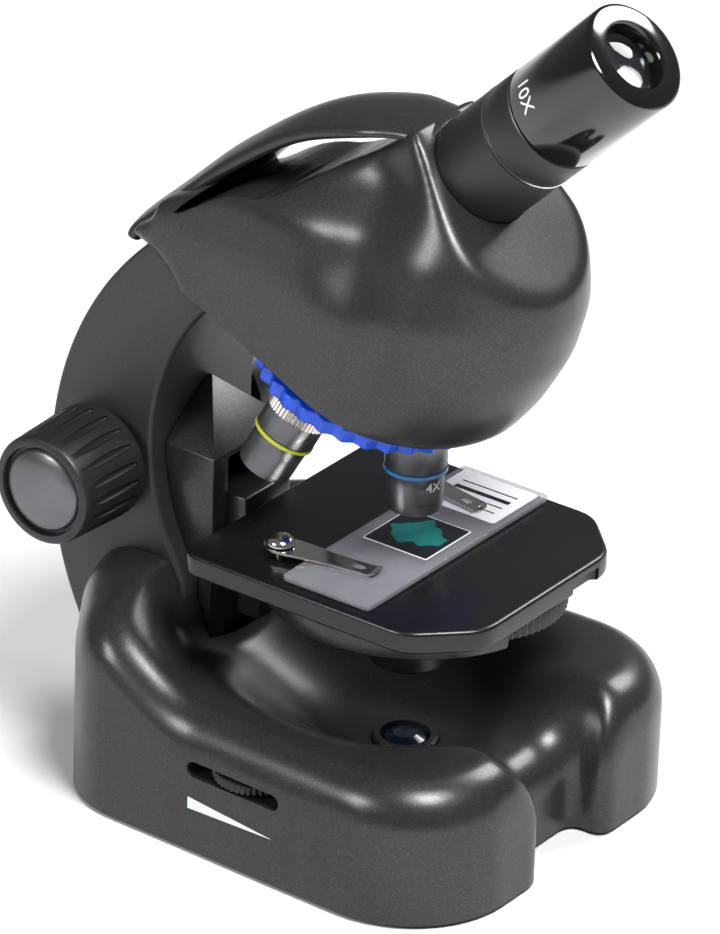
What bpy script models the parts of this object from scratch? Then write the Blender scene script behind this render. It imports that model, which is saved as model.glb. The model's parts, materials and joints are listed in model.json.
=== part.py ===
"""A children's compound microscope: moulded plastic shells on a battery lit base.

Units are metres, +Z is up. The user looks in from -Y; the arm stands at +Y.
Everything is placed from the optical axis, the upright line through the working
objective, the slide and the lamp. That line stands at y = AXIS_Y, so that the origin
is the middle of the footprint of the whole object, on the ground.
"""

import math

import bmesh
import bpy
import numpy as np
from mathutils import Matrix, Vector

# ---------------------------------------------------------------- driving dimensions
AXIS_Y = -0.01517          # the optical axis, forward of the origin
GAP = 0.0003               # clearance between pieces that touch
WALL = 0.0024              # moulded wall thickness

BASE_HALF_FRONT = 0.0577   # half width of the base at its front corners
BASE_HALF_BACK = 0.0548    # half width at the back
BASE_FRONT = -0.0510       # front of the two lobes
RECESS_BACK = -0.0409      # bottom of the recess between the lobes
RECESS_HALF = 0.0130       # half width of that recess at its bottom
CORNER_FRONT = 0.0290      # radius of the front corners, seen from above
CORNER_BACK = 0.0230
BASE_BACK = 0.0850
FOOT_HEIGHT = 0.0010
RIM_HEIGHT = 0.0372        # top of the bowl's rim at the front and sides
SHOULDER_HEIGHT = 0.0520   # top of the raised back of the base
DISH_HEIGHT = 0.0165       # bottom of the dish, round the lamp
FILLET = 0.0120            # roll from the walls to the top

ARM_HALF = 0.0210
ARM_OUTER = (0.0046, 0.0715, 0.0920)   # y, z and radius of the arm's outer curve
ARM_INNER = (0.0046, 0.0855, 0.0602)   # y, z and radius of its inner curve
ARM_FOOT_Y, ARM_FOOT_Z = 0.0540, 0.0250
ARM_TOP_ANGLES = (48.5, 42.5)          # where the outer and inner curves end, inside the head

PILLAR_HALF = 0.0155
PILLAR_FRONT = 0.0495
PILLAR_TOP = 0.0833
PILLAR_APEX = (0.0622, 0.0973)
SLOT_HALF = 0.0095
SLOT_TOP = 0.0820

KNOB_Y, KNOB_Z = 0.0790, 0.0775        # the focus shaft
KNOB_INNER_X = 0.0225
KNOB_OUTER_X = 0.0465
KNOB_RADIUS = 0.0150
PINION_PITCH = 0.0060

STAGE_HALF = 0.0402
STAGE_FRONT, STAGE_BACK = -0.0405, 0.0405
STAGE_TOP = 0.0714
STAGE_THICK = 0.0060
STAGE_CHAMFER = 0.0142

DRUM_RADIUS = 0.0385
DRUM_BOTTOM, DRUM_TOP = 0.0595, 0.0651
WHEEL_AT = (0.0028, -0.0158)           # pivot of the filter wheel
WHEEL_RADIUS = 0.0239
APERTURE_RADIUS = math.hypot(*WHEEL_AT)

CLIP_AT = (0.0257, 0.0212)             # post of the right-hand clip; the left one mirrors it
CLIP_REACH = 0.0273
CLIP_TOE = math.radians(-8.5)          # the clips lean in towards the specimen
SLIDE_SIZE = (0.0760, 0.0260, 0.0013)

HUB_Z = 0.1600                         # where the tube, objective and turret axes meet
TURRET_TILT = math.radians(16.0)
RING_DISTANCE = 0.0510                 # from the hub to the turret ring's lower face
RING_RADIUS = 0.0293
OBJECTIVE_TIPS = (0.0787, 0.0760, 0.0800)   # hub to the front of each objective
FLANGE = 0.0558                        # hub to the seat of each objective

TUBE_TILT = math.radians(45.0)
TUBE_RADIUS = 0.0139
TUBE_START, TUBE_END = 0.0120, 0.0400  # along the tube axis from the hub
COLLAR_END = 0.0503
BARREL_END = 0.0807

# ---------------------------------------------------------------- scene and helpers
for old in list(bpy.data.objects):
    bpy.data.objects.remove(old, do_unlink=True)

PARTS = bpy.data.collections.new("kids_microscope")
CUTTERS = bpy.data.collections.new("cutters")
bpy.context.scene.collection.children.link(PARTS)
bpy.context.scene.collection.children.link(CUTTERS)
CUTTERS.hide_render = True


def finish(name, colour, roughness, metallic=0.0, alpha=1.0):
    """A plain Principled material, made once for each finish."""
    found = bpy.data.materials.get(name)
    if found:
        return found
    made = bpy.data.materials.new(name)
    made.use_nodes = True
    shader = made.node_tree.nodes["Principled BSDF"]
    shader.inputs["Base Color"].default_value = (*colour, 1.0)
    shader.inputs["Roughness"].default_value = roughness
    shader.inputs["Metallic"].default_value = metallic
    shader.inputs["Alpha"].default_value = alpha
    return made


def charcoal():
    return finish("charcoal_shell", (0.045, 0.043, 0.045), 0.38)


def black_plastic():
    return finish("black_plastic", (0.012, 0.012, 0.013), 0.45)


def gloss_black():
    return finish("gloss_black", (0.008, 0.008, 0.009), 0.12)


def blue_plastic():
    return finish("blue_plastic", (0.012, 0.10, 0.62), 0.40)


def gunmetal():
    return finish("gunmetal", (0.10, 0.10, 0.105), 0.35, 0.8)


def nickel():
    return finish("nickel", (0.72, 0.68, 0.64), 0.18, 1.0)


def steel():
    return finish("steel", (0.55, 0.55, 0.56), 0.30, 1.0)


def brass():
    return finish("brass", (0.78, 0.57, 0.26), 0.30, 1.0)


def clear_glass():
    return finish("clear_glass", (0.85, 0.88, 0.90), 0.05, 0.0, 0.35)


def rubber():
    return finish("rubber", (0.02, 0.02, 0.02), 0.85)


def board_green():
    return finish("circuit_board", (0.02, 0.16, 0.07), 0.5)


def cell_jacket():
    return finish("battery_jacket", (0.10, 0.20, 0.55), 0.35)


def empty(name, parent=None, at=(0, 0, 0), turn=(0, 0, 0)):
    made = bpy.data.objects.new(name, None)
    PARTS.objects.link(made)
    made.parent = parent
    made.location = at
    made.rotation_euler = turn
    return made


AXIS = empty("optical_axis", at=(0, AXIS_Y, 0))


def add(name, mesh, material, parent=AXIS, at=(0, 0, 0), turn=(0, 0, 0), cutter=False):
    """An object for a mesh, under a parent, in the parts or with the cutters."""
    made = bpy.data.objects.new(name, mesh)
    (CUTTERS if cutter else PARTS).objects.link(made)
    made.parent = parent
    made.location = at
    made.rotation_euler = turn
    if cutter:
        made.hide_render = True
        made.display_type = "WIRE"
    elif material:
        mesh.materials.append(material)
    return made


def smooth(made, angle=35):
    made.data.shade_smooth()
    made.data.set_sharp_from_angle(angle=math.radians(angle))
    return made


def box(name, low, high, material=None, bevel=0.0, **place):
    """A block between two corners."""
    mesh = bpy.data.meshes.new(name)
    bm = bmesh.new()
    bmesh.ops.create_cube(bm, size=1.0)
    size = Vector(high) - Vector(low)
    bmesh.ops.scale(bm, vec=size, verts=bm.verts)
    bmesh.ops.translate(bm, vec=(Vector(high) + Vector(low)) / 2, verts=bm.verts)
    bm.to_mesh(mesh)
    bm.free()
    made = add(name, mesh, material, **place)
    if bevel:
        soften(made, bevel)
    return made


def soften(made, width, segments=2, angle=30):
    edge = made.modifiers.new("edges", "BEVEL")
    edge.width = width
    edge.segments = segments
    edge.limit_method = "ANGLE"
    edge.angle_limit = math.radians(angle)
    return made


def rod(name, radius, low, high, material=None, sides=24, **place):
    """A round bar along its own Z."""
    mesh = bpy.data.meshes.new(name)
    bm = bmesh.new()
    bmesh.ops.create_cone(bm, cap_ends=True, segments=sides, radius1=radius, radius2=radius, depth=high - low)
    bmesh.ops.translate(bm, vec=(0, 0, (high + low) / 2), verts=bm.verts)
    bm.to_mesh(mesh)
    bm.free()
    return smooth(add(name, mesh, material, **place))


def turned(name, profile, material=None, steps=28, loop=False, **place):
    """A lathe profile of (radius, height) pairs, top to bottom on its outer side."""
    mesh = bpy.data.meshes.new(name)
    points = [(radius, 0.0, height) for radius, height in profile]
    edges = [(i, i + 1) for i in range(len(points) - 1)]
    if loop:
        edges.append((len(points) - 1, 0))
    mesh.from_pydata(points, edges, [])
    made = add(name, mesh, material, **place)
    screw = made.modifiers.new("lathe", "SCREW")
    screw.steps = screw.render_steps = steps
    screw.use_merge_vertices = True
    screw.merge_threshold = 0.00001
    screw.use_smooth_shade = True
    return made


def tube_profile(inner, outer, low, high, edge=0.0004):
    """The closed profile of a plain ring, with its outer corners broken."""
    return [(inner, high), (outer - edge, high), (outer, high - edge), (outer, low + edge),
            (outer - edge, low), (inner, low)]


def plate(name, outline, low, high, material=None, **place):
    """A flat outline in its own XY, between two heights, as a filled curve made a mesh."""
    curve = bpy.data.curves.new(name, "CURVE")
    curve.dimensions = "2D"
    curve.fill_mode = "BOTH"
    curve.extrude = (high - low) / 2
    spline = curve.splines.new("POLY")
    spline.points.add(len(outline) - 1)
    for point, (x, y) in zip(spline.points, outline):
        point.co = (x, y, 0, 1)
    spline.use_cyclic_u = True
    guide = bpy.data.objects.new(name + "_curve", curve)
    bpy.context.scene.collection.objects.link(guide)
    mesh = bpy.data.meshes.new_from_object(guide.evaluated_get(bpy.context.evaluated_depsgraph_get()))
    bpy.data.objects.remove(guide, do_unlink=True)
    bm = bmesh.new()
    bm.from_mesh(mesh)
    bmesh.ops.remove_doubles(bm, verts=bm.verts, dist=0.00001)
    bmesh.ops.translate(bm, vec=(0, 0, (high + low) / 2), verts=bm.verts)
    bm.to_mesh(mesh)
    bm.free()
    mesh.name = name
    return add(name, mesh, material, **place)


def loft(name, rings, material=None, **place):
    """Rings of equal count joined one to the next and closed at both ends."""
    mesh = bpy.data.meshes.new(name)
    bm = bmesh.new()
    rows = [[bm.verts.new(point) for point in ring] for ring in rings]
    count = len(rows[0])
    for lower, upper in zip(rows, rows[1:]):
        for i in range(count):
            j = (i + 1) % count
            bm.faces.new((lower[i], lower[j], upper[j], upper[i]))
    bm.faces.new(rows[0])
    bm.faces.new(rows[-1])
    bmesh.ops.recalc_face_normals(bm, faces=bm.faces)
    bm.to_mesh(mesh)
    bm.free()
    return smooth(add(name, mesh, material, **place))


def boolean(made, cutter, operation="DIFFERENCE"):
    step = made.modifiers.new(operation.lower(), "BOOLEAN")
    step.operation = operation
    step.object = cutter
    return made


def arc(centre, radius, start, end, count):
    """Points on an arc, angles in degrees from +X towards +Y."""
    angles = np.radians(np.linspace(start, end, count))
    return [(centre[0] + radius * math.cos(a), centre[1] + radius * math.sin(a)) for a in angles]


def mirrored(half):
    """A closed outline from its right half, listed from one end of the centre line to the other."""
    return half + [(-x, y) for x, y in reversed(half) if x > 1e-6]


def ramp(value, low, high):
    """A smooth step from 0 at low to 1 at high."""
    t = np.clip((value - low) / (high - low), 0.0, 1.0)
    return t * t * (3 - 2 * t)


# ---------------------------------------------------------------- the base
def base_half_outline(inset=0.0):
    """Right half of the footprint, from the recess round to the back, on the centre line at both ends."""
    front_y = BASE_FRONT + CORNER_FRONT
    corner_x = BASE_HALF_FRONT - CORNER_FRONT
    lip = 0.0036
    half = arc((RECESS_HALF - lip, RECESS_BACK - lip + inset), lip, 80, 10, 3)
    half += arc((RECESS_HALF + 0.0008 + lip + inset, BASE_FRONT + lip + inset), lip, 195, 270, 4)
    half += arc((corner_x, front_y), CORNER_FRONT - inset, 275, 360, 10)
    half += [(BASE_HALF_FRONT - 0.0010 - inset, 0.0100)]
    back = (BASE_HALF_BACK - CORNER_BACK, 0.0500)
    half += arc(back, CORNER_BACK - inset, 0, 55, 7)
    swing = [(0.0300, 0.0785), (0.0150, 0.0835), (0.0, BASE_BACK)]
    half += [(x, y - inset) for x, y in swing]
    return half


def base_height(x, y):
    """Height of the base's top: a dish round the lamp, a rim, lobes in front and a shoulder behind."""
    valley = 0.0115 * (1 - ramp(abs(x), 0.004, 0.026)) * (1 - ramp(y, -0.040, -0.010))
    depth = 0.0440 if y < 0 else 0.0760
    reach = np.hypot(x / 0.0460, y / depth)
    bowl = DISH_HEIGHT + (RIM_HEIGHT - valley - DISH_HEIGHT) * ramp(reach, 0.20, 0.98)
    side = ramp(abs(x), 0.024, 0.050)
    rise = ramp(y, 0.047 - 0.022 * side, 0.060)
    shoulder = SHOULDER_HEIGHT + 0.0035 * (1 - side) - 0.04 * abs(y - 0.060)
    return bowl + (shoulder - bowl) * rise


def landscape(name, height, cell, low, material=None, **place):
    """A block over the whole footprint whose upper face follows a height function."""
    mesh = bpy.data.meshes.new(name)
    bm = bmesh.new()
    across = round(2 * (BASE_HALF_FRONT + 0.002) / cell / 2) * 2
    along = round((BASE_BACK - BASE_FRONT + 0.004) / cell)
    bmesh.ops.create_grid(bm, x_segments=across, y_segments=along, size=1.0)
    for vert in bm.verts:
        x = vert.co.x * (BASE_HALF_FRONT + 0.002)
        y = (BASE_BACK + BASE_FRONT) / 2 + vert.co.y * ((BASE_BACK - BASE_FRONT) / 2 + 0.002)
        vert.co = (x, y, height(x, y))
    top = list(bm.faces)
    walls = bmesh.ops.extrude_face_region(bm, geom=top)["geom"]
    for vert in [item for item in walls if isinstance(item, bmesh.types.BMVert)]:
        vert.co.z = low
    bmesh.ops.recalc_face_normals(bm, faces=bm.faces)
    bm.to_mesh(mesh)
    bm.free()
    return add(name, mesh, material, **place)


def filleted_height(outline, depth, radius):
    """The base's top, rolled down to its walls, and lowered by a depth."""
    closed = np.array(outline + outline[:1])

    def height(x, y):
        inset = distance_to(closed, x, y) if inside(outline, x, y) else 0.0
        drop = radius - math.sqrt(radius ** 2 - max(radius - inset, 0.0) ** 2)
        return float(base_height(x, y)) - drop - depth

    return height


def inside(outline, x, y):
    crossings = 0
    for (x1, y1), (x2, y2) in zip(outline, outline[1:] + outline[:1]):
        if (y1 > y) != (y2 > y) and x < (x2 - x1) * (y - y1) / (y2 - y1) + x1:
            crossings += 1
    return crossings % 2 == 1


def distance_to(closed, x, y):
    """Shortest distance from a point to a closed polyline."""
    start, end = closed[:-1], closed[1:]
    run = end - start
    length = np.maximum((run ** 2).sum(1), 1e-12)
    t = np.clip(((np.array([x, y]) - start) * run).sum(1) / length, 0, 1)
    nearest = start + run * t[:, None]
    return float(np.hypot(nearest[:, 0] - x, nearest[:, 1] - y).min())


def slot_outline(length, height):
    """A slot with round ends, centred."""
    radius = height / 2
    reach = length / 2 - radius
    return arc((reach, 0), radius, -90, 90, 7) + arc((-reach, 0), radius, 90, 270, 7)


def make_base_shell():
    outer = mirrored(base_half_outline())
    inner = mirrored(base_half_outline(WALL))
    shell = plate("base_shell", outer, FOOT_HEIGHT, 0.0700, charcoal())
    cover = landscape("base_cover", filleted_height(outer, 0.0, FILLET), 0.0050, -0.0100, cutter=True)
    hollow = plate("base_hollow", inner, -0.0100, 0.0700, cutter=True)
    roof = landscape("base_roof", filleted_height(inner, WALL, FILLET - WALL), 0.0080, -0.0200, cutter=True)
    boolean(hollow, roof, "INTERSECT")
    boolean(shell, cover, "INTERSECT")
    boolean(shell, hollow)
    lamp_hole = rod("lamp_hole", 0.0085, 0.0, 0.040, cutter=True)
    narrow, wide = PILLAR_HALF + GAP, ARM_HALF + GAP
    step = ARM_FOOT_Y - GAP
    mouth = mirrored([(narrow, PILLAR_FRONT - GAP), (narrow, step), (wide, step), (wide, 0.1000)])
    arm_hole = plate("arm_hole", mouth, 0.0200, 0.0800, cutter=True)
    slot = plate("dimmer_slot", slot_outline(0.0285, 0.0040), -0.0080, 0.0080, cutter=True,
                 at=(-BASE_HALF_FRONT, 0.0110, 0.0237), turn=(math.pi / 2, 0, math.pi / 2))
    for cutter in (arm_hole, lamp_hole, slot):
        boolean(shell, cutter)
    return shell


def screw(name, head, reach, material, radius=0.0015, head_radius=0.0028, **place):
    """A pan head screw along its own Z, head up, with a cross recess."""
    made = turned(name, [(0, head), (head_radius * 0.7, head), (head_radius, head - 0.0006), (head_radius, 0),
                         (radius, 0), (radius, -reach), (0, -reach)], material, steps=16, **place)
    for turn in (0, math.pi / 2):
        cut = box(name + "_cross", (-0.0016, -0.0003, head - 0.0007), (0.0016, 0.0003, head + 0.001),
                  cutter=True,
                  parent=made, turn=(0, 0, turn))
        boolean(made, cut)
    return made


def make_base_inside():
    """The bottom cover with its battery bay, the lamp, the dimmer and the feet."""
    inner = mirrored(base_half_outline(WALL + GAP))
    cover = plate("base_plate", inner, 0.0012, 0.0034, black_plastic())
    boolean(cover, box("bay_hole", (-0.0290, 0.0230, -0.01), (0.0290, 0.0740, 0.01), cutter=True))
    door = box("battery_door", (-0.0287, 0.0233, 0.0012), (0.0287, 0.0737, 0.0030), black_plastic(),
               parent=empty("battery_door_slide", AXIS))
    boolean(door, rod("door_screw_hole", 0.0018, -0.01, 0.01, cutter=True, at=(0, 0.0270, 0)))
    tray = box("battery_tray", (-0.0290, 0.0222, 0.0037), (0.0290, 0.0748, 0.0120), black_plastic())
    boolean(tray, box("tray_hollow", (-0.0274, 0.0238, 0.0), (0.0274, 0.0732, 0.0200), cutter=True))
    for number in range(3):
        y = 0.0325 + 0.0160 * number
        lie = (0, math.pi / 2, 0)
        turned(f"battery_{number + 1}", [(0, 0.0222), (0.0026, 0.0222), (0.0026, 0.0212), (0.0066, 0.0212),
                                         (0.0070, 0.0206), (0.0070, -0.0215), (0.0066, -0.0220), (0,
                                                                                                  -0.0220)],
               cell_jacket(), steps=16, at=(0, y, 0.0122 - 0.0015), turn=lie)
    for side, label in ((-1, "left"), (1, "right")):
        box(f"battery_contact_{label}", (side * 0.0270 - 0.0002, 0.0245, 0.0045),
            (side * 0.0270 + 0.0002, 0.0725, 0.0100), nickel())
    for label, x, y in (("front_left", -0.036, -0.034), ("front_right", 0.036, -0.034),
                        ("back_left", -0.040, 0.058), ("back_right", 0.040, 0.058)):
        turned(f"foot_{label}", [(0, 0.0009), (0.0052, 0.0009), (0.0058, 0.0004), (0.0058, 0.0), (0, 0.0)],
               rubber(), steps=16, at=(x, y, 0.0))


def make_lamp():
    turned("lamp_holder", tube_profile(0.0064, 0.0082, 0.0090, 0.0180), black_plastic(), loop=True)
    turned("lamp_window", [(0, 0.0185), (0.0030, 0.0182), (0.0052, 0.0172), (0.0061, 0.0160),
                           (0.0061, 0.0140),
                           (0, 0.0140)], clear_glass())
    box("lamp_board", (-0.0100, -0.0100, 0.0072), (0.0100, 0.0100, 0.0087), board_green())
    turned("lamp_led", [(0, 0.0130), (0.0014, 0.0126), (0.0024, 0.0114), (0.0024, 0.0096), (0.0029, 0.0096),
                        (0.0029, 0.0090), (0, 0.0090)], clear_glass(), steps=20)


def make_dimmer():
    """A thumbwheel on an upright axis, whose rim shows in the slot of the left wall."""
    pivot = empty("dimmer_axis", AXIS, at=(-0.0462, 0.0110, 0.0237))
    ribs = 32
    outline = []
    for rib in range(ribs):
        for part, radius in ((0.0, 0.0113), (0.5, 0.0109)):
            angle = 2 * math.pi * (rib + part) / ribs
            outline.append((radius * math.cos(angle), radius * math.sin(angle)))
    wheel = plate("dimmer_wheel", outline, -0.0012, 0.0012, black_plastic(), parent=pivot)
    boolean(wheel, rod("dimmer_bore", 0.0016, -0.01, 0.01, cutter=True, at=(-0.0462, 0.0110, 0.0237)))
    pot = box("dimmer_control", (-0.0522, 0.0050, 0.0130), (-0.0402, 0.0170, 0.0205), black_plastic(),
              bevel=0.0005)
    boolean(pot, rod("dimmer_spindle", 0.0014, 0.0, 0.0050, at=(-0.0462, 0.0110, 0.0200), cutter=True),
            "UNION")


def arm_outline(inset=0.0, top=0.0):
    """The arm's side view, (y, z) pairs; inset keeps a wall all round."""
    outer_y, outer_z, outer_radius = ARM_OUTER
    inner_y, inner_z, inner_radius = ARM_INNER
    foot = ARM_FOOT_Z + inset
    low = math.degrees(math.asin((foot - outer_z) / (outer_radius - inset)))
    outline = arc((outer_y, outer_z), outer_radius - inset, low, ARM_TOP_ANGLES[0] - top, 22)
    outline += arc((inner_y, inner_z), inner_radius + inset, ARM_TOP_ANGLES[1] - top, -31.0, 16)
    outline += [(ARM_FOOT_Y + inset, 0.0500), (ARM_FOOT_Y + inset, foot)]
    return outline


def make_arm():
    """Two moulded halves that meet on the middle plane, round the focus drive."""
    upright = (math.pi / 2, 0, math.pi / 2)
    for side, label in ((-1, "left"), (1, "right")):
        low, high = sorted((side * GAP / 2, side * ARM_HALF))
        half = plate(f"arm_{label}", arm_outline(), low, high, charcoal(), turn=upright)
        soften(half, 0.0012, 2, 50)
        reach = sorted((-side * 0.002, side * (ARM_HALF - WALL)))
        boolean(half, plate(f"arm_hollow_{label}", arm_outline(WALL, 1.5), *reach, cutter=True, turn=upright))
        boolean(half, rod(f"shaft_hole_{label}", 0.0026, *sorted((0, side * 0.03)), cutter=True,
                          at=(0, KNOB_Y, KNOB_Z), turn=(0, math.pi / 2, 0)))
        boolean(half, box(f"neck_slot_{label}", (-0.0046, 0.0500, 0.0490), (0.0046, 0.0700, 0.0800),
                          cutter=True))


def make_pillar():
    """The faceted guide in front of the arm, with the slot that the stage carriage runs in."""
    inner_y, inner_z, inner_radius = ARM_INNER
    back = arc((inner_y, inner_z), inner_radius - GAP, 11.2, -31.0, 12)
    outline = [(PILLAR_FRONT, 0.0300), (PILLAR_FRONT, PILLAR_TOP), PILLAR_APEX] + back
    outline += [(ARM_FOOT_Y - GAP, 0.0500), (ARM_FOOT_Y - GAP, 0.0300)]
    pillar = plate("focus_pillar", outline, -PILLAR_HALF, PILLAR_HALF, charcoal(),
                   turn=(math.pi / 2, 0, math.pi / 2))
    apex_y, apex_z = PILLAR_APEX
    bm = bmesh.new()
    bm.from_mesh(pillar.data)
    for side in (-1, 1):
        corner = Vector((PILLAR_FRONT, PILLAR_TOP, side * PILLAR_HALF))
        along = Vector((0.0142, 0.0003, 0.0))
        up = Vector((apex_y, apex_z, 0.0)) - corner
        normal = along.cross(up) * side
        cut = bmesh.ops.bisect_plane(bm, geom=bm.verts[:] + bm.edges[:] + bm.faces[:], plane_co=corner,
                                     plane_no=normal, clear_outer=normal.z * side > 0,
                                     clear_inner=normal.z * side <= 0)
        bmesh.ops.holes_fill(bm, edges=[item for item in cut["geom_cut"] if isinstance(item,
                                                                                       bmesh.types.BMEdge)])
    bmesh.ops.recalc_face_normals(bm, faces=bm.faces)
    bm.to_mesh(pillar.data)
    bm.free()
    boolean(pillar, box("pillar_slot", (-SLOT_HALF, 0.0400, 0.0200), (SLOT_HALF, 0.0612, SLOT_TOP),
                        cutter=True))
    boolean(pillar, box("pillar_neck", (-0.0046, 0.0580, 0.0200), (0.0046, 0.0800, 0.0790), cutter=True))


def rack_outline(low, high):
    """The rack's side view, (y, z): a bar with trapezoid teeth towards the pinion."""
    pitch = math.pi * PINION_PITCH / 6
    root, tip = KNOB_Y - PINION_PITCH - 0.0008, KNOB_Y - PINION_PITCH + 0.0005
    outline = [(0.0682, low), (root, low)]
    count = int((high - low) / pitch)
    first = KNOB_Z - round((KNOB_Z - low - pitch / 2) / pitch) * pitch
    for tooth in range(count):
        z = first + tooth * pitch
        if z + pitch / 3 < high:
            outline += [(root, z - 0.00075), (tip, z - 0.00035), (tip, z + 0.00035), (root, z + 0.00075)]
    return outline + [(root, high), (0.0682, high)]


def pinion_outline():
    """Twelve trapezoid teeth, with a gap facing the rack at rest."""
    outline = []
    for tooth in range(12):
        middle = math.pi + 2 * math.pi * (tooth + 0.5) / 12
        for radius, half in ((PINION_PITCH - 0.0008, 0.00080), (PINION_PITCH + 0.0005, 0.00035)):
            swing = half / radius
            outline.append((radius, middle - swing, middle + swing))
    points = []
    for low, high in zip(outline[::2], outline[1::2]):
        for radius, angle in ((low[0], low[1]), (high[0], high[1]), (high[0], high[2]), (low[0], low[2])):
            points.append((radius * math.cos(angle), radius * math.sin(angle)))
    return points


def knob_body(name, side, parent):
    """A tapered grip with rounded flutes, hollow in front for its cap."""
    length = KNOB_OUTER_X - KNOB_INNER_X
    profile = [(0.0022, length - 0.0010), (0.0112, length - 0.0010), (0.0116, length), (0.0134, length),
               (0.0142, length - 0.0008), (KNOB_RADIUS, 0.0030), (KNOB_RADIUS - 0.0004, 0.0012),
               (0.0130, 0.0), (0.0022, 0.0)]
    knob = turned(name, profile, black_plastic(), steps=36, loop=True, parent=parent,
                  at=(side * KNOB_INNER_X, 0, 0), turn=(0, side * math.pi / 2, 0))
    return knob


def make_focus_drive():
    """Shaft, pinion and the two knobs, turning together."""
    drive = empty("focus_axis", AXIS, at=(0, KNOB_Y, KNOB_Z))
    along = (0, math.pi / 2, 0)
    rod("focus_shaft", 0.0020, -KNOB_OUTER_X + 0.0020, KNOB_OUTER_X - 0.0020, steel(), parent=drive,
        turn=along)
    pinion = plate("focus_pinion", pinion_outline(), -0.0035, 0.0035, brass(), parent=drive,
                   turn=(math.pi / 2, 0, math.pi / 2))
    boolean(pinion, rod("pinion_bore", 0.0022, -0.01, 0.01, cutter=True, parent=drive, turn=along))
    for side, label in ((-1, "left"), (1, "right")):
        knob_body(f"focus_knob_{label}", side, drive)
        turned(f"knob_cap_{label}", [(0, 0.0016), (0.0060, 0.0013), (0.0098, 0.0005), (0.0111, -0.0005),
                                     (0.0111, -0.0007), (0, -0.0007)], black_plastic(), parent=drive,
               at=(side * KNOB_OUTER_X, 0, 0), turn=(0, side * math.pi / 2, 0))


def stage_outline(half=STAGE_HALF, front=STAGE_FRONT, back=STAGE_BACK, chamfer=STAGE_CHAMFER):
    corner = 0.0050
    right = [(half - chamfer, front), (half, front + chamfer)]
    right += arc((half - corner, back - corner), corner, 0, 90, 4)
    return mirrored(right)


def make_stage():
    """The carriage with its rack, the plate, the drum under it, the filter wheel and the clips."""
    lift = empty("stage_lift", AXIS)
    carriage = box("stage_carriage", (-0.0092, 0.0440, 0.0560), (0.0092, 0.0534, 0.0720), charcoal(),
                   parent=lift)
    for name, low, high in (("neck", (-0.0040, 0.0520, 0.0600), (0.0040, 0.0679, 0.0720)),
                            ("bracket", (-0.0092, 0.0330, 0.0585), (0.0092, 0.0500, 0.0648)),
                            ("gusset", (-0.0080, 0.0400, 0.0390), (0.0080, 0.0470, 0.0600))):
        boolean(carriage, box("carriage_" + name, low, high, cutter=True, parent=lift), "UNION")
    plate("focus_rack", rack_outline(0.0600, 0.0920), -0.0038, 0.0038, brass(), parent=lift,
          turn=(math.pi / 2, 0, math.pi / 2))

    table = plate("stage_plate", stage_outline(), STAGE_TOP - STAGE_THICK, STAGE_TOP, black_plastic(),
                  parent=lift)
    soften(table, 0.0012, 2, 50)
    boolean(table, rod("stage_hole", 0.0060, 0.05, 0.08, cutter=True, parent=lift))
    under = plate("stage_under", stage_outline(STAGE_HALF - 0.0022, STAGE_FRONT + 0.0022,
                                               STAGE_BACK - 0.0022, 0.0140),
                  0.0600, STAGE_TOP - 0.0030, cutter=True, parent=lift)
    seat = box("bracket_seat", (-0.0200, 0.0364, 0.0500), (0.0200, 0.0500, 0.0900), cutter=True, parent=lift)
    boolean(under, seat)
    boolean(table, under)
    for side in (-1, 1):
        boolean(table, rod(f"clip_hole_{side}", 0.0018, 0.05, 0.08, cutter=True, parent=lift,
                           at=(side * CLIP_AT[0], CLIP_AT[1], 0)))

    drum = turned("stage_drum", [(0.0110, 0.0680), (0.0360, 0.0680), (0.0364, 0.0676), (0.0364, DRUM_TOP),
                                 (DRUM_RADIUS - 0.0004, DRUM_TOP), (DRUM_RADIUS, DRUM_TOP - 0.0004),
                                 (DRUM_RADIUS - 0.0005, DRUM_BOTTOM), (0.0362, DRUM_BOTTOM), (0.0362, 0.0630),
                                 (0.0345, 0.0664), (0.0110, 0.0664)], charcoal(), loop=True,
                  steps=40, parent=lift, at=(0, -0.0012, 0))
    boolean(drum, box("drum_window", (-0.0120, -0.0500, 0.0500), (0.0260, -0.0250, 0.0664), cutter=True,
                      parent=lift))
    boolean(drum, box("drum_seat", (-0.0098, 0.0324, 0.0500), (0.0098, 0.0600, 0.0700), cutter=True,
                      parent=lift))
    boolean(drum, rod("drum_pivot", 0.0019, 0.05, 0.08, cutter=True, parent=lift, at=(*WHEEL_AT, 0)))

    spin = empty("filter_axis", lift, at=(*WHEEL_AT, 0))
    wheel = turned("filter_wheel", tube_profile(0.0018, WHEEL_RADIUS, 0.0604, 0.0651, 0.0006),
                   black_plastic(),
                   steps=36, loop=True, parent=spin)
    facing = math.atan2(-WHEEL_AT[1], -WHEEL_AT[0])
    for number in range(6):
        angle = facing + number * math.pi / 3
        spot = (APERTURE_RADIUS * math.cos(angle), APERTURE_RADIUS * math.sin(angle), 0)
        boolean(wheel, rod(f"aperture_{number}", 0.0048 - 0.0006 * number, 0.05, 0.08, cutter=True, sides=12,
                           parent=spin, at=spot))
    screw("filter_wheel_pin", 0.0016, 0.0075, steel(), parent=lift, at=(*WHEEL_AT, 0.0601),
          turn=(math.pi, 0, 0))
    turned("condenser_cup", [(0.0055, 0.0601), (0.0090, 0.0601), (0.0100, 0.0590), (0.0100, 0.0405),
                             (0.0090, 0.0395), (0.0055, 0.0395)], black_plastic(), loop=True, parent=lift)
    return lift


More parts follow.
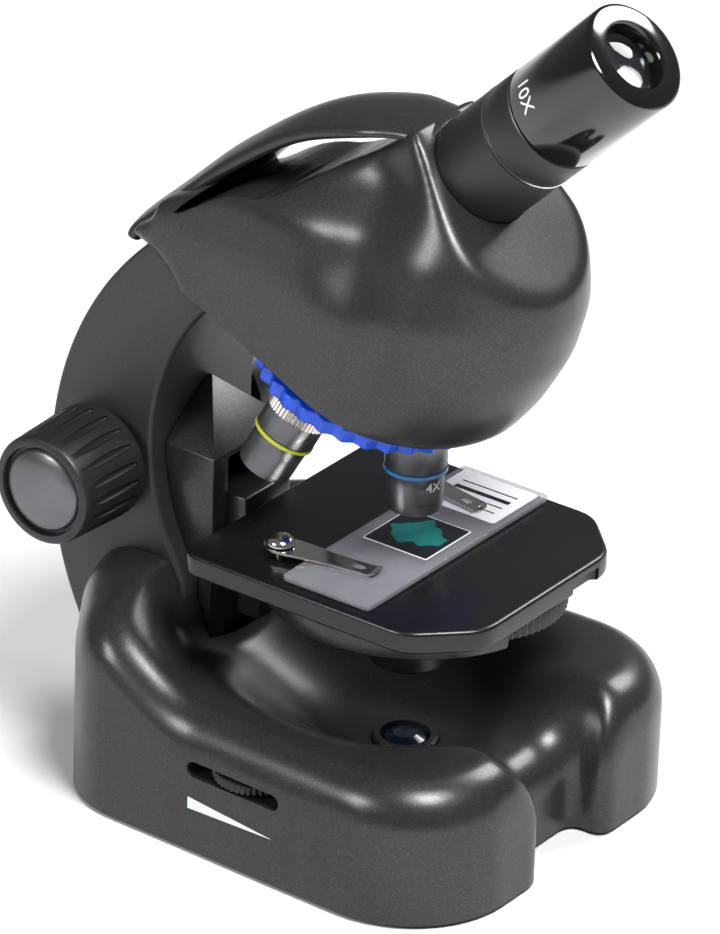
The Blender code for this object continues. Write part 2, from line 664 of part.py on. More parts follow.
def make_clips(lift):
    """Two spring clips that turn on their posts over the slide."""
    for side, label in ((-1, "left"), (1, "right")):
        x, y = side * CLIP_AT[0], CLIP_AT[1]
        pivot = empty(f"clip_{label}_axis", lift, at=(x, y, 0), turn=(0, 0, side * CLIP_TOE))
        outline = arc((0, 0), 0.0042, -20, 200, 10)
        outline += [(-0.0028, -CLIP_REACH + 0.0022), (-0.0012, -CLIP_REACH), (0.0012, -CLIP_REACH)]
        outline += [(0.0028, -CLIP_REACH + 0.0022)]
        clip = plate(f"clip_{label}", outline, 0.0733, 0.0739, nickel(), parent=pivot)
        boolean(clip, rod(f"clip_bore_{label}", 0.0019, 0.06, 0.09, cutter=True, sides=16, parent=pivot))
        turned(f"clip_screw_{label}", [(0, 0.0764), (0.0022, 0.0762), (0.0035, 0.0752), (0.0037, 0.0743),
                                       (0.0015, 0.0743), (0.0015, 0.0690), (0, 0.0690)], nickel(), steps=16,
               parent=lift, at=(x, y, 0))


def make_slide(lift):
    """A glass specimen slide on the stage, with its cover glass."""
    length, width, thick = SLIDE_SIZE
    middle = empty("slide_middle", lift, at=(0.0010, -0.0005, STAGE_TOP + GAP))
    box("specimen_slide", (-length / 2, -width / 2, 0), (length / 2, width / 2, thick), clear_glass(),
        parent=middle)
    box("cover_glass", (-0.0090, -0.0090, thick + 0.0001), (0.0090, 0.0090, thick + 0.0003), clear_glass(),
        parent=middle)


def make_eyepiece():
    """The inclined tube, and the eyepiece that pulls out of it."""
    line = empty("tube_axis", AXIS, at=(0, 0, HUB_Z), turn=(TUBE_TILT, 0, 0))
    turned("eyepiece_tube", tube_profile(0.0119, TUBE_RADIUS, TUBE_START, TUBE_END), blue_plastic(),
           loop=True,
           parent=line)
    collar = [(0.0100, COLLAR_END), (0.0135, COLLAR_END), (TUBE_RADIUS, COLLAR_END - 0.0004),
              (TUBE_RADIUS, TUBE_END + GAP), (0.0116, TUBE_END + GAP), (0.0116, 0.0180), (0.0100, 0.0180)]
    turned("eyepiece_collar", collar, gloss_black(), loop=True, parent=line)
    barrel = [(0.0078, BARREL_END - 0.0030), (0.0086, BARREL_END), (0.0130, BARREL_END),
              (TUBE_RADIUS, BARREL_END - 0.0010), (TUBE_RADIUS, COLLAR_END + GAP), (0.0078, COLLAR_END + GAP)]
    turned("eyepiece_barrel", barrel, gloss_black(), loop=True, parent=line)
    turned("eye_lens", [(0, BARREL_END - 0.0028), (0.0040, BARREL_END - 0.0034),
                        (0.0075, BARREL_END - 0.0048),
                        (0.0075, BARREL_END - 0.0070), (0, BARREL_END - 0.0070)], clear_glass(), steps=24,
           parent=line)
    turned("field_lens", [(0, 0.0250), (0.0050, 0.0244), (0.0097, 0.0225), (0.0097, 0.0205), (0, 0.0205)],
           clear_glass(), steps=24, parent=line)


def head_ring(height, slope, front, half, widest, back_half, back, inset=0.0):
    """One level section of the head: a round front, straight flanks that narrow to the arm."""
    right = []
    for step in range(8):
        angle = math.pi / 2 * step / 7
        right.append(((half - inset) * math.sin(angle), widest - (widest - front - inset) * math.cos(angle)))
    for share in (0.35, 0.70, 1.0):
        right.append((half + (back_half - half) * share - inset, widest + (back - inset - widest) * share))
    right.append((0.0, back - inset))
    return [(x, y, height + slope * y) for x, y in mirrored(right)]


def head_outline_above(distance):
    """A large block on the eyepiece side of the head's inclined face, in the tube's frame."""
    return (-0.06, -0.08, distance), (0.06, 0.08, distance + 0.08)


def head_levels(inset):
    """The head's sections, from the rim over the turret to the root of the handle."""
    floor = inset and inset + GAP
    return [head_ring(0.1115 + floor, 0.2867, -0.0183, 0.0303, 0.0094, 0.0215, 0.0510, inset),
            head_ring(0.1160 + floor, 0.2600, -0.0245, 0.0308, 0.0090, 0.0215, 0.0560, inset),
            head_ring(0.1260, 0.2000, -0.0325, 0.0315, 0.0040, 0.0215, 0.0600, inset),
            head_ring(0.1370, 0.1200, -0.0385, 0.0320, 0.0000, 0.0215, 0.0620, inset),
            head_ring(0.1470, 0.0500, -0.0405, 0.0315, -0.0040, 0.0215, 0.0620, inset),
            head_ring(0.1550 - inset, 0.0, -0.0400, 0.0290, 0.0000, 0.0200, 0.0560, inset),
            head_ring(0.1620 - inset, -0.0300, -0.0390, 0.0260, 0.0050, 0.0150, 0.0440, inset),
            head_ring(0.1660 - inset, 0.0, -0.0390, 0.0230, 0.0020, 0.0140, 0.0250, inset),
            head_ring(0.1760 - inset, 0.0, -0.0390, 0.0160, -0.0020, 0.0130, 0.0090, inset),
            head_ring(0.1860 - inset, 0.0, -0.0390, 0.0135, -0.0050, 0.0130, -0.0030, inset)]


def strap_outline():
    """The carrying handle's side view with the rear of the head, (y, z) pairs."""
    crown = [(-0.0053, 0.1863), (0.0058, 0.1867), (0.0142, 0.1850), (0.0233, 0.1827), (0.0317, 0.1792),
             (0.0408, 0.1734), (0.0505, 0.1658), (0.0560, 0.1615), (0.0685, 0.1490), (0.0770, 0.1410),
             (0.0865, 0.1325)]
    under = [(0.0780, 0.1345), (0.0684, 0.1381), (0.0500, 0.1400), (0.0, 0.1600)]
    return crown + under


def opening_outline():
    """The hand hole under the strap."""
    return [(0.0100, 0.1772), (0.0140, 0.1782), (0.0225, 0.1764), (0.0305, 0.1732), (0.0395, 0.1675),
            (0.0490, 0.1598), (0.0600, 0.1495), (0.0585, 0.1490), (0.0440, 0.1590), (0.0300, 0.1612)]


def make_head():
    """Two mirrored head shells with the handle, and the prism that folds the light into the tube."""
    upright = (math.pi / 2, 0, math.pi / 2)
    right = loft("head_shell_right", head_levels(0.0), charcoal())
    rear = [(0.0200, 0.1172), (0.0510, 0.1261), (0.0684, 0.1381), (0.0770, 0.1410), (0.0685, 0.1490),
            (0.0440, 0.1605), (0.0200, 0.1500)]
    boolean(right, plate("head_rear", rear, -0.0213, 0.0213, cutter=True, turn=upright), "UNION")
    boolean(right, plate("head_strap", strap_outline(), -0.0135, 0.0135, cutter=True, turn=upright), "UNION")
    line = empty("face_axis", AXIS, at=(0, 0, HUB_Z), turn=(TUBE_TILT, 0, 0))
    boolean(right, box("head_face", *head_outline_above(0.0223), cutter=True, parent=line))
    boolean(right, plate("hand_hole", opening_outline(), -0.05, 0.05, cutter=True, turn=upright))
    hollow = loft("head_hollow", head_levels(WALL), cutter=True)
    boolean(hollow, box("hollow_face", *head_outline_above(0.0223 - WALL), cutter=True, parent=line))
    boolean(hollow, box("hollow_back", (-0.05, 0.0420, 0.10), (0.05, 0.12, 0.20), cutter=True))
    boolean(hollow, plate("hollow_handle", [(y - 0.0030, z - 0.0020) for y, z in opening_outline()], -0.05,
                          0.05,
                          cutter=True, turn=upright))
    boolean(right, hollow)
    boolean(right, rod("tube_bore", TUBE_RADIUS + GAP, 0.0100, 0.0400, cutter=True, sides=32, parent=line))
    top = arm_outline(-GAP, -3.0)
    boolean(right, plate("arm_socket", top, -ARM_HALF - GAP, ARM_HALF + GAP, cutter=True, turn=upright))
    drop = empty("head_turret_axis", AXIS, at=(0, 0, HUB_Z), turn=(TURRET_TILT, 0, 0))
    boolean(right, rod("turret_screw_hole", 0.0018, -0.0600, -0.0200, cutter=True, sides=16, parent=drop))
    boolean(right, rod("light_hole", 0.0060, 0.1000, 0.1400, cutter=True))
    boolean(right, box("right_half", (GAP / 2, -0.08, 0.05), (0.08, 0.15, 0.25), cutter=True), "INTERSECT")

    mesh = bpy.data.meshes.new_from_object(right.evaluated_get(bpy.context.evaluated_depsgraph_get()))
    mesh.transform(Matrix.Scale(-1, 4, (1, 0, 0)))
    mesh.flip_normals()
    add("head_shell_left", mesh, None)

    box("head_prism", (-0.0080, -0.0080, -0.0080), (0.0080, 0.0080, 0.0080), clear_glass(), parent=AXIS,
        at=(0, 0.0010, HUB_Z - 0.0010), turn=(math.radians(22.5), 0, 0))


def objective_profile(tip):
    """A stepped barrel from its flange to its tip, in its own frame where the hub is at zero."""
    seat = -FLANGE
    return [(0.0030, -0.0505), (0.0046, -0.0505), (0.0050, -0.0509), (0.0050, seat + 0.0002),
            (0.0080, seat + 0.0002),
            (0.0080, seat - 0.0030), (0.0077, seat - 0.0034), (0.0074, -tip + 0.0111), (0.0068,
                                                                                        -tip + 0.0109),
            (0.0068, -tip + 0.0073), (0.0073, -tip + 0.0071), (0.0069, -tip + 0.0004), (0.0065,
                                                                                        -tip), (0.0042, -tip),
            (0.0030, -tip + 0.0020)]


def make_turret():
    """The revolving nosepiece with three objectives that all point away from the hub."""
    turret = empty("turret_axis", AXIS, at=(0, 0, HUB_Z), turn=(TURRET_TILT, 0, 0))
    low, high = -RING_DISTANCE, -0.0469
    ring = turned("turret_ring", [(0.0022, high), (RING_RADIUS - 0.0006, high), (RING_RADIUS, high - 0.0006),
                                  (RING_RADIUS, low + 0.0010), (RING_RADIUS - 0.0010, low), (0.0022, low)],
                  blue_plastic(), steps=40, loop=True, parent=turret)
    names = ("low", "medium", "high")
    for number, (label, tip) in enumerate(zip(names, OBJECTIVE_TIPS)):
        line = empty(f"objective_{label}_axis", turret, turn=(-TURRET_TILT, 0, 0))
        swing = Matrix.Rotation(number * 2 * math.pi / 3, 4, "Z") @ Matrix.Rotation(-TURRET_TILT, 4, "X")
        line.rotation_euler = swing.to_euler()
        boolean(ring, rod(f"boss_{label}", 0.0084, -FLANGE + 0.0006, -0.0520, cutter=True, sides=20,
                          parent=line), "UNION")
        boolean(ring, rod(f"thread_{label}", 0.0053, -0.0700, -0.0400, cutter=True, sides=16, parent=line))
        turned(f"objective_{label}", objective_profile(tip), gunmetal(), steps=16, loop=True, parent=line)
        turned(f"objective_band_{label}", tube_profile(0.0070, 0.0076, -tip + 0.0074, -tip + 0.0106, 0.0002),
               nickel(), steps=16, loop=True, parent=line)
        turned(f"objective_lens_{label}", [(0, -tip + 0.0060), (0.0027, -tip + 0.0060),
                                           (0.0027, -tip + 0.0045),
                                           (0, -tip + 0.0036)], clear_glass(), steps=16, parent=line)
    turned("turret_screw", [(0, -0.0400), (0.0015, -0.0400), (0.0015, low - GAP), (0.0042, low - GAP),
                            (0.0042, low - 0.0012), (0.0034, low - 0.0019), (0,
                                                                             low - 0.0021)], steel(), steps=16,
           parent=turret)


make_base_shell()
make_base_inside()
make_lamp()
make_dimmer()
make_arm()
make_pillar()
make_focus_drive()
STAGE = make_stage()
make_clips(STAGE)
make_slide(STAGE)
make_eyepiece()
make_head()
make_turret()
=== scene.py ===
# %% [markdown]
# # A children's microscope, dressed for its portrait
#
# The solid model of the microscope is already packed as a frame: every part sits at its real
# place, in metres, and knows which moving body it belongs to. This notebook builds the visible
# skin around that frame. The moulded shells get soft, flowing forms, the turned parts get their
# knurls, and every surface gets a material made of nodes.

# %% Load the frame
import math
import json

import bmesh
import bpy
import numpy as np
from mathutils import Matrix, Vector

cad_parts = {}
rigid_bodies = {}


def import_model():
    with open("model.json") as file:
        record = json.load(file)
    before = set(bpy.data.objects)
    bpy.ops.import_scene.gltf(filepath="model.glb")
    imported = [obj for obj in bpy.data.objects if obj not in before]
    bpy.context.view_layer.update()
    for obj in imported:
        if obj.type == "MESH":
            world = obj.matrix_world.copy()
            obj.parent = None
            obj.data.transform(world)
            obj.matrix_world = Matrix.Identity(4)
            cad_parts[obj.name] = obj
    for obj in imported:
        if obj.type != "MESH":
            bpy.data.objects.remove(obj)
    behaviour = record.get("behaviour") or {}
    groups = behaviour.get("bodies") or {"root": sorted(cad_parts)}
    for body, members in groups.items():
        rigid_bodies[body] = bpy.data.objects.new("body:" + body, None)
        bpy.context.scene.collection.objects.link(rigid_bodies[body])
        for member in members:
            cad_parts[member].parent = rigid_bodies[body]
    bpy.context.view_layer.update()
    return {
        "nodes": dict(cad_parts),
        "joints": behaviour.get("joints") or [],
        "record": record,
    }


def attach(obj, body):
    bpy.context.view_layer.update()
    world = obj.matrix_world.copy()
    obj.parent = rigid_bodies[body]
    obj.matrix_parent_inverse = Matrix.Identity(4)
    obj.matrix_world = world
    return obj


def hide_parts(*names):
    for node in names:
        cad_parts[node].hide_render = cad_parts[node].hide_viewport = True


bpy.ops.object.select_all(action="SELECT")
bpy.ops.object.delete()
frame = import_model()
joints = {joint["name"]: joint for joint in frame["joints"]}

# %% [markdown]
# ## Where things stand
#
# Three lines meet inside the head: the upright optical axis, the tilted axis of the nosepiece
# and the line of the eyepiece. The frame's joints say where they are, so nothing is measured
# again here. Each piece is modelled round the plain Z axis and then carried to its line.

# %% The lines that pieces are built on
def turned_about_x(degrees):
    return Matrix.Rotation(math.radians(degrees), 4, "X")


hub_at = Vector(joints["turret_turn"]["pos_m"])
stand = Matrix.Translation((0, hub_at.y, 0))
hub = Matrix.Translation(hub_at)
TURRET_TILT = 16.0
tube_line = hub @ turned_about_x(45)
upright = Matrix(((0, 0, 1, 0), (1, 0, 0, 0), (0, 1, 0, 0), (0, 0, 0, 1)))
swings = [turned_about_x(TURRET_TILT) @ Matrix.Rotation(math.radians(120 * k), 4, "Z")
          @ turned_about_x(-TURRET_TILT) for k in range(3)]
objective_lines = [hub @ swing for swing in swings]
print("the lines meet at", [round(value, 4) for value in hub_at])

# %% [markdown]
# ## A small bench of modelling helpers
#
# Most pieces start in one of two ways. A turned piece starts as a circle that is extruded and
# scaled ring by ring, as on a lathe. A moulded piece starts as a flat grid that is rolled into
# a tube, whose rings are then laid out one by one. The helpers below do those two jobs, apply
# modifiers and hand a finished piece to its body.

# %% Helpers
def start(kind, name, **sizes):
    """Adds a primitive with nothing else selected."""
    bpy.ops.object.select_all(action="DESELECT")
    getattr(bpy.ops.mesh, f"primitive_{kind}_add")(**sizes)
    piece = bpy.context.object
    piece.name = piece.data.name = name
    return piece


def only(piece):
    bpy.ops.object.select_all(action="DESELECT")
    piece.select_set(True)
    bpy.context.view_layer.objects.active = piece


def modify(piece, kind, **settings):
    """Adds a modifier, sets it and applies it."""
    only(piece)
    step = piece.modifiers.new(kind.lower(), kind)
    for key, value in settings.items():
        setattr(step, key, value)
    bpy.ops.object.modifier_apply(modifier=step.name)
    return piece


def soften(piece, width, segments=3, angle=30):
    return modify(piece, "BEVEL", width=width, segments=segments, limit_method="ANGLE",
                  angle_limit=math.radians(angle), harden_normals=False)


def shade(piece, angle=40):
    only(piece)
    bpy.ops.object.shade_smooth_by_angle(angle=math.radians(angle))
    return piece


def carry(piece, where):
    """Moves a piece to its line and leaves the place in its mesh."""
    only(piece)
    piece.matrix_world = where @ piece.matrix_world
    bpy.ops.object.transform_apply(location=True, rotation=True, scale=True)
    return piece


def tidy_mesh(piece, distance=0.000005):
    """Merges doubles and turns every face outwards."""
    only(piece)
    bpy.ops.object.mode_set(mode="EDIT")
    bpy.ops.mesh.select_all(action="SELECT")
    bpy.ops.mesh.remove_doubles(threshold=distance)
    bpy.ops.mesh.normals_make_consistent(inside=False)
    bpy.ops.object.mode_set(mode="OBJECT")
    return piece


def lathe(name, profile, sides=96, closed=False):
    """A circle extruded and scaled through (radius, height) pairs; a zero radius closes the end."""
    first_radius, first_height = profile[0]
    thin = 0.00001
    piece = start("circle", name, vertices=sides, radius=max(first_radius, thin),
                  location=(0, 0, first_height))
    bpy.ops.object.mode_set(mode="EDIT")
    radius, height = max(first_radius, thin), first_height
    for next_radius, next_height in profile[1:] + (profile[:1] if closed else []):
        bpy.ops.mesh.extrude_region_move(TRANSFORM_OT_translate={"value": (0, 0, next_height - height)})
        grow = max(next_radius, thin) / radius
        bpy.ops.transform.resize(value=(grow, grow, 1))
        radius, height = max(next_radius, thin), next_height
    bpy.ops.mesh.select_all(action="SELECT")
    bpy.ops.mesh.remove_doubles(threshold=thin * 1.5 if not closed else 0.000002)
    bpy.ops.mesh.normals_make_consistent(inside=False)
    bpy.ops.object.mode_set(mode="OBJECT")
    return carry(piece, Matrix())


def roll(name, rings, caps=True):
    """A grid rolled into a tube, ring by ring, and closed at both ends."""
    around, along = len(rings[0]), len(rings)
    piece = start("grid", name, x_subdivisions=around, y_subdivisions=along - 1, size=1)
    points = np.array([[*ring, ring[0]] for ring in rings], dtype=np.float32)
    piece.data.vertices.foreach_set("co", points.ravel())
    bpy.ops.object.mode_set(mode="EDIT")
    bpy.ops.mesh.select_all(action="SELECT")
    bpy.ops.mesh.remove_doubles(threshold=0.000002)
    if caps:
        bpy.ops.mesh.select_all(action="DESELECT")
        bpy.ops.mesh.select_mode(type="EDGE")
        bpy.ops.mesh.select_non_manifold()
        bpy.ops.mesh.fill_holes(sides=0)
        bpy.ops.mesh.select_mode(type="VERT")
    bpy.ops.mesh.select_all(action="SELECT")
    bpy.ops.mesh.normals_make_consistent(inside=False)
    bpy.ops.object.mode_set(mode="OBJECT")
    return piece


def slab(name, outline, low, high):
    """A flat outline cut from a disc and extruded upwards."""
    piece = start("circle", name, vertices=len(outline), radius=1, fill_type="NGON")
    points = np.array([(x, y, low) for x, y in outline], dtype=np.float32)
    piece.data.vertices.foreach_set("co", points.ravel())
    bpy.ops.object.mode_set(mode="EDIT")
    bpy.ops.mesh.select_all(action="SELECT")
    bpy.ops.mesh.extrude_region_move(TRANSFORM_OT_translate={"value": (0, 0, high - low)})
    bpy.ops.mesh.select_all(action="SELECT")
    bpy.ops.mesh.normals_make_consistent(inside=False)
    bpy.ops.object.mode_set(mode="OBJECT")
    return piece


def carve(piece, tool, operation="DIFFERENCE"):
    modify(piece, "BOOLEAN", object=tool, operation=operation, solver="EXACT")
    bpy.data.objects.remove(tool, do_unlink=True)
    return piece


def join(pieces):
    bpy.ops.object.select_all(action="DESELECT")
    for piece in pieces:
        piece.select_set(True)
    bpy.context.view_layer.objects.active = pieces[0]
    bpy.ops.object.join()
    return pieces[0]


def block(name, low, high):
    piece = start("cube", name, size=1, location=(Vector(low) + Vector(high)) / 2)
    piece.scale = Vector(high) - Vector(low)
    return carry(piece, Matrix())


def arc(centre, radius, begin, end, count):
    angles = np.radians(np.linspace(begin, end, count))
    return [(centre[0] + radius * math.cos(a), centre[1] + radius * math.sin(a)) for a in angles]


def ramp(value, low, high):
    t = np.clip((value - low) / (high - low), 0.0, 1.0)
    return t * t * (3 - 2 * t)


def dress(piece, material, slot, body, *nodes, where=stand):
    """Carries a finished piece to its place, gives it its finish and hands it to its body."""
    carry(piece, where)
    piece.data.materials.clear()
    piece.data.materials.append(material)
    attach(piece, body)
    if nodes:
        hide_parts(*nodes)
    print(f"{piece.name}: {len(piece.data.polygons)} faces on {body}")
    return piece


# %% [markdown]
# ## Effects that the finishes share
#
# Moulded plastic has a spark-eroded grain, a slow unevenness of gloss where fingers and the
# mould's flow left their trace, and, on the charcoal shells, a fine metal fleck. Each effect is
# a node group that puts out only a value, so any material can place it with its own numbers.

# %% Node groups
def new_group(name, inputs, outputs):
    group = bpy.data.node_groups.new(name, "ShaderNodeTree")
    for label, value in inputs:
        socket = group.interface.new_socket(label, in_out="INPUT", socket_type="NodeSocketFloat")
        socket.default_value = value
    for label in outputs:
        group.interface.new_socket(label, in_out="OUTPUT", socket_type="NodeSocketFloat")
    return group, group.nodes.new("NodeGroupInput"), group.nodes.new("NodeGroupOutput")


def wire(tree, *pairs):
    for source, target in pairs:
        tree.links.new(source, target)


def noise_node(tree, scale, detail=3.0, roughness=0.55):
    node = tree.nodes.new("ShaderNodeTexNoise")
    node.inputs["Scale"].default_value = scale
    node.inputs["Detail"].default_value = detail
    node.inputs["Roughness"].default_value = roughness
    return node


def math_node(tree, operation, value=None, clamp=False):
    node = tree.nodes.new("ShaderNodeMath")
    node.operation = operation
    node.use_clamp = clamp
    if value is not None:
        node.inputs[1].default_value = value
    return node


def map_node(tree, low, high, to_low=0.0, to_high=1.0):
    node = tree.nodes.new("ShaderNodeMapRange")
    node.inputs["From Min"].default_value = low
    node.inputs["From Max"].default_value = high
    node.inputs["To Min"].default_value = to_low
    node.inputs["To Max"].default_value = to_high
    return node


def make_grain():
    """Height of a spark-eroded mould grain."""
    group, given, out = new_group("mould_grain", [("Scale", 1400.0)], ["Height"])
    place = group.nodes.new("ShaderNodeTexCoord")
    fine = noise_node(group, 1400, 2.0, 0.6)
    wire(group, (place.outputs["Object"], fine.inputs["Vector"]),
         (given.outputs["Scale"], fine.inputs["Scale"]), (fine.outputs["Fac"], out.inputs["Height"]))
    return group


def make_fleck():
    """Sparse bright specks, as from metal powder in the plastic."""
    group, given, out = new_group("metal_fleck", [("Scale", 2600.0), ("Share", 0.2)], ["Mask"])
    place = group.nodes.new("ShaderNodeTexCoord")
    cells = group.nodes.new("ShaderNodeTexVoronoi")
    split = group.nodes.new("ShaderNodeSeparateColor")
    high = math_node(group, "SUBTRACT")
    high.inputs[0].default_value = 1.0
    above = math_node(group, "SUBTRACT")
    spread = math_node(group, "DIVIDE", clamp=True)
    wire(group, (place.outputs["Object"], cells.inputs["Vector"]),
         (given.outputs["Scale"], cells.inputs["Scale"]),
         (cells.outputs["Color"], split.inputs[0]), (given.outputs["Share"], high.inputs[1]),
         (split.outputs[0], above.inputs[0]), (high.outputs[0], above.inputs[1]),
         (above.outputs[0], spread.inputs[0]), (given.outputs["Share"], spread.inputs[1]),
         (spread.outputs[0], out.inputs["Mask"]))
    return group


def make_handling():
    """Slow, smeared unevenness from handling and from the flow of the plastic."""
    group, given, out = new_group("handling", [("Scale", 28.0)], ["Mask"])
    place = group.nodes.new("ShaderNodeTexCoord")
    stretch = group.nodes.new("ShaderNodeMapping")
    stretch.inputs["Scale"].default_value = (1.0, 1.0, 0.45)
    broad = noise_node(group, 28, 5.0, 0.62)
    spread = map_node(group, 0.35, 0.70)
    wire(group, (place.outputs["Object"], stretch.inputs["Vector"]),
         (stretch.outputs[0], broad.inputs["Vector"]),
         (given.outputs["Scale"], broad.inputs["Scale"]), (broad.outputs["Fac"], spread.inputs["Value"]),
         (spread.outputs[0], out.inputs["Mask"]))
    return group


grain_group, fleck_group, handling_group = make_grain(), make_fleck(), make_handling()
print("node groups:", [group.name for group in bpy.data.node_groups])


# %% [markdown]
# ## The finishes
#
# One recipe serves every moulded part: a base colour that drifts a little, a gloss that varies
# with handling, and a fine grain in the bump. The charcoal shells add the fleck. The metals use
# noise drawn out round the piece, as turning leaves it.

# %% Materials
def mix_colour(tree, low, high):
    node = tree.nodes.new("ShaderNodeMix")
    node.data_type = "RGBA"
    node.inputs["A"].default_value = (*low, 1)
    node.inputs["B"].default_value = (*high, 1)
    return node


def place_group(tree, group, **values):
    node = tree.nodes.new("ShaderNodeGroup")
    node.node_tree = group
    for key, value in values.items():
        node.inputs[key].default_value = value
    return node


def moulded(name, colour, gloss, grain=0.00004, grain_scale=1400.0, fleck=0.0, metallic=0.0, drift=0.25,
            coat=0.0):
    """A moulded plastic: colour drift, uneven gloss, grain and, on request, metal fleck."""
    material = bpy.data.materials.new(name)
    material.use_nodes = True
    tree = material.node_tree
    shader = tree.nodes["Principled BSDF"]
    shader.inputs["Metallic"].default_value = metallic
    shader.inputs["Coat Weight"].default_value = coat
    shader.inputs["Coat Roughness"].default_value = 0.08
    handling = place_group(tree, handling_group, Scale=26.0)
    tone = mix_colour(tree, colour, [c * (1 + drift) for c in colour])
    wire(tree, (handling.outputs["Mask"], tone.inputs["Factor"]))
    shown = tone
    if fleck:
        specks = place_group(tree, fleck_group, Scale=4200.0, Share=0.30)
        shown = mix_colour(tree, colour, [min(1.0, c * 1.1 + fleck) for c in colour])
        wire(tree, (specks.outputs["Mask"], shown.inputs["Factor"]),
             (tone.outputs["Result"], shown.inputs["A"]))
    gloss_range = map_node(tree, 0.0, 1.0, gloss, gloss * 1.22)
    grit = place_group(tree, grain_group, Scale=grain_scale)
    bump = tree.nodes.new("ShaderNodeBump")
    bump.inputs["Strength"].default_value = 0.55
    bump.inputs["Distance"].default_value = grain
    wire(tree, (shown.outputs["Result"], shader.inputs["Base Color"]),
         (handling.outputs["Mask"], gloss_range.inputs["Value"]),
         (gloss_range.outputs[0], shader.inputs["Roughness"]),
         (grit.outputs["Height"], bump.inputs["Height"]), (bump.outputs["Normal"], shader.inputs["Normal"]))
    return material


def metal(name, colour, gloss, stretch=(60.0, 60.0, 2600.0), depth=0.00001, metallic=1.0):
    """A metal whose fine marks run round or along the piece."""
    material = bpy.data.materials.new(name)
    material.use_nodes = True
    tree = material.node_tree
    shader = tree.nodes["Principled BSDF"]
    shader.inputs["Metallic"].default_value = metallic
    place = tree.nodes.new("ShaderNodeTexCoord")
    drawn = tree.nodes.new("ShaderNodeMapping")
    drawn.inputs["Scale"].default_value = stretch
    marks = noise_node(tree, 1.0, 3.0, 0.6)
    handling = place_group(tree, handling_group, Scale=60.0)
    tone = mix_colour(tree, [c * 0.82 for c in colour], colour)
    gloss_range = map_node(tree, 0.3, 0.75, gloss * 0.8, gloss * 1.35)
    bump = tree.nodes.new("ShaderNodeBump")
    bump.inputs["Strength"].default_value = 0.5
    bump.inputs["Distance"].default_value = depth
    wire(tree, (place.outputs["Object"], drawn.inputs["Vector"]),
         (drawn.outputs[0], marks.inputs["Vector"]), (handling.outputs["Mask"], tone.inputs["Factor"]),
         (tone.outputs["Result"], shader.inputs["Base Color"]),
         (marks.outputs["Fac"], gloss_range.inputs["Value"]),
         (gloss_range.outputs[0], shader.inputs["Roughness"]),
         (marks.outputs["Fac"], bump.inputs["Height"]), (bump.outputs["Normal"], shader.inputs["Normal"]))
    return material


def clear(name, colour, alpha, gloss, transmission=0.0):
    """Glass or clear plastic, with faint smears in its gloss."""
    material = bpy.data.materials.new(name)
    material.use_nodes = True
    tree = material.node_tree
    shader = tree.nodes["Principled BSDF"]
    shader.inputs["Alpha"].default_value = alpha
    shader.inputs["Transmission Weight"].default_value = transmission
    shader.inputs["IOR"].default_value = 1.5
    smears = place_group(tree, handling_group, Scale=90.0)
    tone = mix_colour(tree, colour, [min(1.0, c * 1.12) for c in colour])
    gloss_range = map_node(tree, 0.0, 1.0, gloss, gloss + 0.10)
    wire(tree, (smears.outputs["Mask"], tone.inputs["Factor"]),
         (tone.outputs["Result"], shader.inputs["Base Color"]),
         (smears.outputs["Mask"], gloss_range.inputs["Value"]),
         (gloss_range.outputs[0], shader.inputs["Roughness"]))
    return material


charcoal = moulded("charcoal_shell", (0.040, 0.037, 0.038), 0.27, 0.00002, 1700, fleck=0.03, metallic=0.6)
arm_plastic = moulded("arm_plastic", (0.022, 0.022, 0.023), 0.40, 0.00008, 1100, fleck=0.015, metallic=0.15)
black = moulded("black_plastic", (0.010, 0.010, 0.011), 0.36, 0.00006, 1100)
tube_black = moulded("tube_black", (0.008, 0.008, 0.009), 0.34, 0.00006, 1500, fleck=0.01)
stage_black = moulded("stage_black", (0.004, 0.004, 0.0045), 0.26, 0.00007, 800)
gloss_black = moulded("gloss_black", (0.004, 0.004, 0.005), 0.07, 0.000004, 500, coat=0.6)
blue = moulded("blue_plastic", (0.006, 0.075, 0.60), 0.30, 0.00002, 900, drift=0.12)
rubber = moulded("rubber", (0.018, 0.018, 0.018), 0.75, 0.00010, 500)
gunmetal = metal("gunmetal", (0.17, 0.17, 0.18), 0.33, metallic=0.85)
nickel = metal("nickel", (0.78, 0.74, 0.70), 0.13, (900.0, 60.0, 900.0))
steel = metal("steel", (0.55, 0.55, 0.56), 0.28)
brass = metal("brass", (0.78, 0.57, 0.26), 0.28)
blue_band = moulded("blue_band", (0.01, 0.16, 0.42), 0.25, 0.00001, 900)
yellow_band = moulded("yellow_band", (0.52, 0.56, 0.02), 0.25, 0.00001, 900)
red_band = moulded("red_band", (0.50, 0.02, 0.02), 0.25, 0.00001, 900)
white_print = moulded("white_print", (0.78, 0.79, 0.80), 0.40, 0.000005, 900, drift=0.05)
slide_glass = clear("slide_glass", (0.30, 0.31, 0.33), 0.42, 0.12)
lens_glass = clear("lens_glass", (0.85, 0.88, 0.95), 1.0, 0.02, transmission=1.0)
dark_mount = moulded("dark_mount", (0.006, 0.008, 0.009), 0.30, 0.00001, 700)
teal = moulded("specimen_teal", (0.002, 0.13, 0.12), 0.35, 0.00008, 700, drift=0.9)
board_green = moulded("circuit_board", (0.012, 0.13, 0.05), 0.40, 0.00003, 500)
jacket = moulded("battery_jacket", (0.06, 0.13, 0.45), 0.28, 0.00001, 300, drift=0.5)
print(len(bpy.data.materials), "materials")


